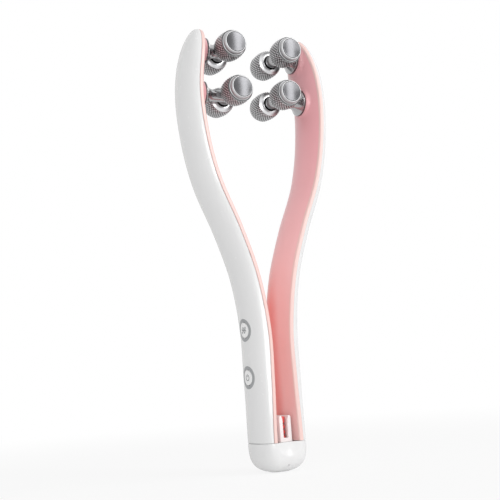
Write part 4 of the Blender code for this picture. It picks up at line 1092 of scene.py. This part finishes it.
class ROLLER_OT_base(BuildOperator, bpy.types.Operator):
    """Builds the base cap with its scoops and openings, and the charge lamp"""
    bl_idname = "roller.base"
    bl_label = "Base cap"
    # Shares of the flat's height and width, from the middle of the underside to the curve
    UNDERSIDE = np.array([(0.0, 0.5), (0.0, 0.93), (0.02, 0.97), (0.35, 0.995), (0.75, 1.0)])
    # Drop and inset of the upper edge, in its radius
    UPPER_EDGE = np.array([(0.3, 0.3), (0.0, 1.0), (0.0, 1.2)])
    PLUG_INSET = 0.005      # share by which the plug stands back from the cap's edge
    FIRST_RING = 0.6        # turn at which the curve's rings start, as a share of the flat's
    RINGS = 60
    ARM_POINTS = 65         # points of the outline round each arm's root
    BRIDGE_POINTS = 24      # and between them
    SLACK = 0.00002         # least gap over the plug, and how deep the lens sits
    LENS_DOME = 0.00012
    LENS_DEPTH = 0.0008
    LENS_POINTS = 8

    def outline(self, shape):
        """The two arms' root sections as one outline, each half a superellipse."""
        sizes = shape.sizes
        turn = math.pi * np.linspace(-0.5, 0.5, self.ARM_POINTS)
        power = 2 / sizes.section_power
        out = sizes.root_depth * np.abs(np.cos(turn)) ** power
        across = np.sign(np.sin(turn)) * np.abs(np.sin(turn)) ** power * sizes.root_width
        half = np.stack([sizes.root_gap + out, across, 0 * out], axis=-1)
        bridge = np.linspace(half[-1], -half[0], self.BRIDGE_POINTS + 2)[1:-1]
        whole = np.concatenate([half, bridge])
        return np.concatenate([whole, -whole])

    def rings(self, sizes, seam, edge_share):
        """Height and share of the outline of each ring, from the underside to the seam.

        The outline shrinks by (1 - drop^n)^(1/n) as it nears the underside, where the drop is
        the distance below the seam over the seam's height.
        """
        power = sizes.cap_power
        flat = seam * (1 - (1 - sizes.flat_share ** power) ** (1 / power))
        first = self.FIRST_RING * math.asin(min(flat / seam, 1))
        turn = np.linspace(first, math.pi / 2, self.RINGS)
        z = seam * (1 - np.cos(turn) ** (2 / power))
        z = z[(z > flat) & (z < seam - sizes.edge)]
        share = (1 - (1 - z / seam) ** power) ** (1 / power)
        return (np.concatenate([flat * self.UNDERSIDE[:, 0], z,
                                seam - sizes.edge * self.UPPER_EDGE[:, 0]]),
                np.concatenate([sizes.flat_share * self.UNDERSIDE[:, 1], share,
                                1 - edge_share * self.UPPER_EDGE[:, 1]]))

    def execute(self, context):
        shape = ArmShape(context.scene.roller_arms)
        sizes = context.scene.roller_base
        seam = shape.sizes.seam_height
        z, share = self.rings(sizes, seam, sizes.edge / shape.sizes.root_width)
        grid = self.outline(shape)[None] * share[:, None, None]
        grid[..., 2] = z[:, None]
        grid[..., 1] = self.scooped(shape, sizes, grid)
        plug = grid[-1:] * np.array([1 - self.PLUG_INSET, 1 - self.PLUG_INSET, 1.0])
        # Under the outer side of an arm the plug gives way to the arm as it opens
        outside = np.maximum(np.abs(plug[..., 0]) - sizes.spring_reach, 0)
        room = shape.sizes.seam_gap - self.SLACK - outside * math.tan(sizes.arm_swing)
        raised = plug.copy()
        raised[..., 2] += np.minimum(room, sizes.seam_plug)
        mesh = build_mesh("base_body", [np.concatenate([grid, plug, raised])])
        mesh = finish_mesh(cut(mesh, "base_body", [self.inlet(sizes)]), sharp_angle=24.0)
        add_piece("base_body", mesh, "gloss_white", "base", "base_cap")
        self.lamp(shape, sizes, seam)
        return {"FINISHED"}

    def scooped(self, shape, sizes, grid):
        """Place along Y of the cap's points, drawn in to a round-nosed hollow front and back.

        The hollow's wall stands sqrt(r^2 - x^2 - drop^2) from an upright line in front of the
        cap, where the drop is the depth below the hollow's nose. The lesser of its distance
        from the middle and the cap's own is taken, with the edge between them blended.
        """
        half, depth = sizes.scoop_width, sizes.scoop_depth
        radius = (half ** 2 + depth ** 2) / (2 * depth)
        centre = shape.sizes.root_width - depth + radius
        x, y, z = grid[..., 0], grid[..., 1], grid[..., 2]
        drop = np.minimum(z - sizes.scoop_bottom - half, 0)
        wall = centre - np.sqrt(np.maximum(radius ** 2 - x ** 2 - drop ** 2, 0))
        own = np.abs(y)
        near = np.maximum(1 - np.abs(own - wall) / sizes.scoop_edge, 0)
        return np.sign(y) * (np.minimum(own, wall) - sizes.scoop_edge * near ** 2 / 4)

    def inlet(self, sizes):
        """The charging inlet's opening, as a bar with a stadium-shaped section."""
        turn = np.linspace(0, 2 * math.pi, ROUND["inlet"], endpoint=False)
        round_half = sizes.port_thickness
        straight = np.sign(np.cos(turn)) * (sizes.port_width - round_half)
        ring = np.stack([straight + round_half * np.cos(turn), 0 * turn,
                         sizes.port_height + round_half * np.sin(turn)], axis=-1)
        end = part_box("charging_port")[1].y
        rows = [ring + np.array([0, y, 0]) for y in (end - sizes.port_depth, 2 * end)]
        return build_mesh("inlet", [np.stack(rows)])

    def lamp(self, shape, sizes, seam):
        """Small domed lens: proud (1 - share^2) over its disc."""
        power = sizes.cap_power
        drop = 1 - sizes.lamp_height / seam
        spot = Vector((0, -shape.sizes.root_width * (1 - drop ** power) ** (1 / power),
                       sizes.lamp_height))
        outward = Vector((0, -1, -sizes.lamp_slope)).normalized()
        share = np.linspace(0, 1, self.LENS_POINTS)
        lens = [*zip(self.LENS_DOME * (1 - share ** 2) - self.SLACK, sizes.lamp_radius * share),
                (-self.LENS_DEPTH, sizes.lamp_radius), (-self.LENS_DEPTH, 0.0)]
        mesh = build_mesh("lamp_lens", [turned(lens, ROUND["lamp"], spot, outward)])
        add_piece("lamp_lens", mesh, "grey_lens", "base", "charge_lamp")


class ROLLER_OT_spring(BuildOperator, bpy.types.Operator):
    """Builds the flat spring in two halves"""
    bl_idname = "roller.spring"
    bl_label = "Spring"
    LEVEL_POINTS = 5
    BEND_POINTS = 9
    LEG_POINTS = 59

    def execute(self, context):
        sizes = context.scene.roller_base
        for name, side in SIDES:
            mesh = build_mesh(name + "_spring", [self.half(sizes, side)])
            piece = add_piece(name + "_spring_half", mesh, "plain_steel", None, "flex_spring")
            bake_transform(piece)
        return {"FINISHED"}

    def half(self, sizes, side):
        """Rings of half a U: a level run, a quarter turn and an upright leg.

        The middle line is straight, then an arc of the bend radius, then straight. Each ring is
        a bevelled rectangle square to it.
        """
        radius, reach = sizes.spring_corner, sizes.spring_reach
        half, thick, edge = sizes.spring_width, sizes.spring_thickness / 2, sizes.spring_edge
        bottom = sizes.spring_bottom + thick
        turn = np.linspace(0, math.pi / 2, self.BEND_POINTS)
        level = np.linspace(0, reach - radius, self.LEVEL_POINTS + 1)[:-1]
        rise = np.linspace(bottom + radius, sizes.spring_top, self.LEG_POINTS + 1)[1:]
        x = np.concatenate([level, reach - radius + radius * np.sin(turn), 0 * rise + reach])
        z = np.concatenate([0 * level + bottom, bottom + radius * (1 - np.cos(turn)), rise])
        turn = np.concatenate([0 * level, turn, 0 * rise + math.pi / 2])[:, None]
        across = np.array([half - edge, half, half, half - edge])
        out = np.array([-thick, edge - thick, thick - edge, thick])
        across = np.concatenate([across, -across[::-1]])
        out = np.concatenate([out, out[::-1]])
        place = (side * (x[:, None] + out * np.sin(turn)), across + 0 * turn,
                 z[:, None] - out * np.cos(turn))
        return np.stack(place, axis=-1)


class ROLLER_OT_slider(BuildOperator, bpy.types.Operator):
    """Builds the tension slider and the notched rack with rounded edges"""
    bl_idname = "roller.slider"
    bl_label = "Slider and rack"
    EDGE_STEPS = 3
    EDGE_ANGLE = 30             # degrees over which an edge is rounded

    def execute(self, context):
        for node, finish, slot, body in (
                ("tension_slider", "slider_white", "gloss_white", "slider"),
                ("detent_rack", "coral_red", "coral_red", "base")):
            mesh = NODES[node].data.copy()
            clean_mesh(mesh)
            piece = add_piece(node + "_body", mesh, slot, body, node, finish=finish)
            step = piece.modifiers.new("rounded_edges", "BEVEL")
            step.width = context.scene.roller_base.slider_bevel
            step.segments = self.EDGE_STEPS
            step.limit_method = "ANGLE"
            step.angle_limit = math.radians(self.EDGE_ANGLE)
            step.use_clamp_overlap = True
            mesh.shade_smooth()
        return {"FINISHED"}


class ROLLER_OT_buttons(BuildOperator, bpy.types.Operator):
    """Builds the two buttons, their rings and their icons, all following the shell"""
    bl_idname = "roller.buttons"
    bl_label = "Buttons"
    KEY_POINTS = 10
    LINE_POINTS = 60
    RING_DEPTH = 0.0004         # depth of a ring's outer side below the shell
    ICON_DEPTH = 0.0002         # depth of an icon's line below the shell
    WAVE = (0.0018, 0.0007)     # half length and height of the mode icon's waves
    WAVE_PLACES = (-0.0006, 0.0006)
    RING_ENDS = (125, 415)      # degrees between which the power icon's ring runs
    BAR_ENDS = (0.15, 1.25)     # ends of its bar, in radii of the ring

    def patch(self, shape, height, profile):
        """Rings about a button's middle, each at a radius and a rise above the shell."""
        turn = np.linspace(0, 2 * math.pi, ROUND["button"], endpoint=False)[None]
        radius, proud = np.array(profile).T[..., None]
        return shape.on_left_shell(radius * np.cos(turn), height + radius * np.sin(turn), proud)

    def execute(self, context):
        shape = ArmShape(context.scene.roller_arms)
        sizes = context.scene.roller_buttons
        hole, rim, cap = sizes.hole_radius, sizes.ring_radius, sizes.cap_radius
        ring = [(hole, -sizes.skirt), (hole, sizes.ring_proud - TRIM_EDGE),
                (hole + TRIM_EDGE, sizes.ring_proud), (rim - TRIM_EDGE, sizes.ring_proud),
                (rim, sizes.ring_proud - TRIM_EDGE), (rim, -self.RING_DEPTH)]
        key = [(radius, sizes.cap_proud)
               for radius in np.linspace(0, 1, self.KEY_POINTS) * (cap - TRIM_EDGE)]
        key += [(cap, sizes.cap_proud - TRIM_EDGE), (cap, -sizes.skirt), (0.0, -sizes.skirt)]
        for label, height in (("mode", sizes.mode_height), ("power", sizes.power_height)):
            mesh = self.ring_mesh(label + "_trim", self.patch(shape, height, ring))
            add_piece(label + "_trim", mesh, "grey_trim", "left_arm", label + "_button_ring")
            mesh = build_mesh(label + "_key", [self.patch(shape, height, key)])
            add_piece(label + "_key", mesh, "gloss_white", label + "_key", label + "_button",
                      finish="button_white")
            grids = [self.strip(shape, sizes, height, line) for line in self.icon(sizes, label)]
            add_piece(label + "_icon", build_mesh(label + "_icon", grids), "grey_trim",
                      label + "_key", finish="icon_grey")
        return {"FINISHED"}

    def ring_mesh(self, name, grid):
        """Closed ring: the grid's rows also wrap, so it has no flat ends."""
        wrapped = np.concatenate([grid, grid[:1]])
        mesh = bpy.data.meshes.new(name)
        mesh.from_pydata(wrapped.reshape(-1, 3), [], ring_faces(*wrapped.shape[:2], 0))
        return finish_mesh(mesh)

    def icon(self, sizes, label):
        """Lines of an icon: two waves for the mode, and an open ring and a bar for power."""
        if label == "mode":
            t = np.linspace(-1, 1, self.LINE_POINTS)
            reach, swing = self.WAVE
            wave = np.stack([reach * t, swing * np.sin(2 * math.pi * t)], axis=-1)
            return [wave + np.array([0, rise]) for rise in self.WAVE_PLACES]
        turn = np.linspace(*map(math.radians, self.RING_ENDS), self.LINE_POINTS)
        arc = np.stack([np.cos(turn), np.sin(turn)], axis=-1)
        bar = np.stack([0 * turn, np.linspace(*self.BAR_ENDS, self.LINE_POINTS)], axis=-1)
        return [sizes.icon_radius * arc, sizes.icon_radius * bar]

    def strip(self, shape, sizes, height, line):
        """Raised strip carried along a line: half a width to each side of its tangent."""
        tangent = np.gradient(line, axis=0)
        tangent /= np.linalg.norm(tangent, axis=1, keepdims=True)
        side = np.stack([-tangent[:, 1], tangent[:, 0]], axis=-1) * sizes.icon_width / 2
        foot, top = -self.ICON_DEPTH, sizes.cap_proud + sizes.icon_proud
        rows = []
        for spread, proud in ((-1, foot), (1, foot), (1, top), (-1, top)):
            across, up = (line + spread * side).T
            rows.append(shape.on_left_shell(across, height + up, proud))
        return np.stack(rows, axis=1)


class ROLLER_OT_stage(BuildOperator, bpy.types.Operator):
    """Adds the pale floor, the soft light, the white background and the camera"""
    bl_idname = "roller.stage"
    bl_label = "Stage"
    # Name, place, width and height in metres, and lean in degrees of each soft lamp
    LAMPS = (("key", (0.95, -0.80, 0.95), (0.7, 0.7), 0.0),
             ("strip", (0.715, -1.214, 0.69), (0.24, 1.0), -9.0),
             ("fill", (-0.55, -0.95, 0.06), (0.5, 0.5), 0.0))
    LAMP_AIM = (0, 0, 0.15)
    FLOOR_RADIUS = 6.0
    FLOOR_THICKNESS = 0.002
    FLOOR_TOP = -0.00002
    FLOOR_TONE = 0.86
    CLIP = (0.01, 50.0)     # distances between which the camera sees

    def execute(self, context):
        settings = context.scene.roller_stage
        self.floor(settings)
        self.world(context.scene, settings)
        for name, *shape in self.LAMPS:
            self.lamp(name + "_lamp", getattr(settings, name + "_power"), *shape)
        self.camera(context.scene, settings)
        context.scene.view_settings.view_transform = "Standard"
        return {"FINISHED"}

    def floor(self, settings):
        """Large flat disc at the foot of the object, white to the camera but for its shadow."""
        foot, reach = -self.FLOOR_THICKNESS, self.FLOOR_RADIUS
        disc = turned([(foot, 0.0), (foot, reach), (0.0, reach), (0.0, 0.0)], ROUND["floor"],
                      (0, 0, self.FLOOR_TOP), (0, 0, 1))
        floor = add_object("floor", build_mesh("floor", [disc]))
        tone, darker, paler = ((self.FLOOR_TONE + change,) * 3 for change in (0, -0.01, 0.01))
        finish = Finish("pale_floor", tone, 0.9)
        finish.set("Base Color", finish.mix(finish.noise(3.0, 2.0), darker, paler))
        x, y, _ = finish.axes()
        away = finish.step((x * x + y * y) ** 0.5, settings.floor_near, settings.floor_far)
        glow = away * (1 - settings.floor_glow) + settings.floor_glow
        pale = finish.node("ShaderNodeEmission", {"Color": (1, 1, 1), "Strength": 1.0})
        shader = Wire(finish, finish.shader.outputs[0])
        mixed = finish.node("ShaderNodeMixShader", {0: finish.seen() * glow, 1: shader, 2: pale})
        finish.feed(finish.tree.nodes["Material Output"].inputs["Surface"], mixed)
        floor.data.materials.append(finish.material)

    def world(self, scene, settings):
        """White to the camera, to metal and to glass, and plain even light elsewhere."""
        scene.world = bpy.data.worlds.new("studio")
        scene.world.use_nodes = True
        nodes = Nodes(scene.world.node_tree)
        level = nodes.seen() * (1 - settings.sky_level) + settings.sky_level
        sky = nodes.tree.nodes["Background"]
        nodes.feed(sky.inputs["Color"], (1, 1, 1))
        nodes.feed(sky.inputs["Strength"], level)

    def lamp(self, name, energy, place, size, lean):
        """Soft lamp aimed at the rollers and turned about its own line."""
        data = bpy.data.lights.new(name, "AREA")
        data.shape = "RECTANGLE"
        data.size, data.size_y = size
        data.energy = energy
        lamp = add_object(name, data)
        lamp.location = place
        turn = (Vector(self.LAMP_AIM) - Vector(place)).to_track_quat("-Z", "Y")
        turn @= Quaternion((0, 0, 1), math.radians(lean))
        lamp.rotation_euler = turn.to_euler()

    def camera(self, scene, settings):
        """Camera at its place, turned by the azimuth, the elevation and the roll."""
        data = bpy.data.cameras.new("camera")
        data.sensor_fit = "HORIZONTAL"
        data.lens = settings.lens
        data.clip_start, data.clip_end = self.CLIP
        camera = add_object("camera", data)
        azimuth, tilt, roll = settings.azimuth, settings.elevation, settings.roll
        ahead = Vector((math.sin(azimuth) * math.cos(tilt), math.cos(azimuth) * math.cos(tilt),
                        math.sin(tilt)))
        right = Vector((math.cos(azimuth), -math.sin(azimuth), 0))
        up = right.cross(ahead)
        across = right * math.cos(roll) + up * math.sin(roll)
        above = up * math.cos(roll) - right * math.sin(roll)
        turn = Matrix((across, above, -ahead)).transposed()
        camera.matrix_world = Matrix.Translation(settings.place) @ turn.to_4x4()
        scene.camera = camera


class ROLLER_PT_panel(bpy.types.Panel):
    """Lists the sizes, the finishes and the operators of the face roller"""
    bl_idname = "ROLLER_PT_panel"
    bl_label = "Face Roller"
    bl_space_type = "VIEW_3D"
    bl_region_type = "UI"
    bl_category = "Face Roller"

    def draw(self, context):
        layout = self.layout
        for operator in STEPS:
            layout.operator(operator.bl_idname)
        for group in SETTINGS:
            box = layout.box()
            box.label(text=group.removeprefix("roller_").capitalize())
            owner = getattr(context.scene, group)
            for name in type(owner).__annotations__:
                box.prop(owner, name)


STEPS = (ROLLER_OT_finishes, ROLLER_OT_shells, ROLLER_OT_panels, ROLLER_OT_stems,
         ROLLER_OT_rollers, ROLLER_OT_base, ROLLER_OT_spring, ROLLER_OT_slider,
         ROLLER_OT_buttons, ROLLER_OT_stage)
SETTINGS = {"roller_arms": ArmSizes, "roller_heads": HeadSizes, "roller_base": BaseSizes,
            "roller_buttons": ButtonSizes, "roller_finishes": Finishes,
            "roller_stage": StageSettings}
CLASSES = (*SETTINGS.values(), *STEPS, ROLLER_PT_panel)


def register():
    for item in CLASSES:
        bpy.utils.register_class(item)
    for name, group in SETTINGS.items():
        setattr(bpy.types.Scene, name, PointerProperty(type=group))


def unregister():
    for name in SETTINGS:
        delattr(bpy.types.Scene, name)
    for item in reversed(CLASSES):
        bpy.utils.unregister_class(item)


def main():
    """Builds the pieces and the stage in order."""
    register()
    bpy.ops.roller.finishes()
    bpy.ops.roller.shells()
    bpy.ops.roller.panels()
    bpy.ops.roller.stems()
    bpy.ops.roller.rollers()
    bpy.ops.roller.base()
    bpy.ops.roller.spring()
    bpy.ops.roller.slider()
    bpy.ops.roller.buttons()
    bpy.ops.roller.stage()


if __name__ == "__main__":
    main()
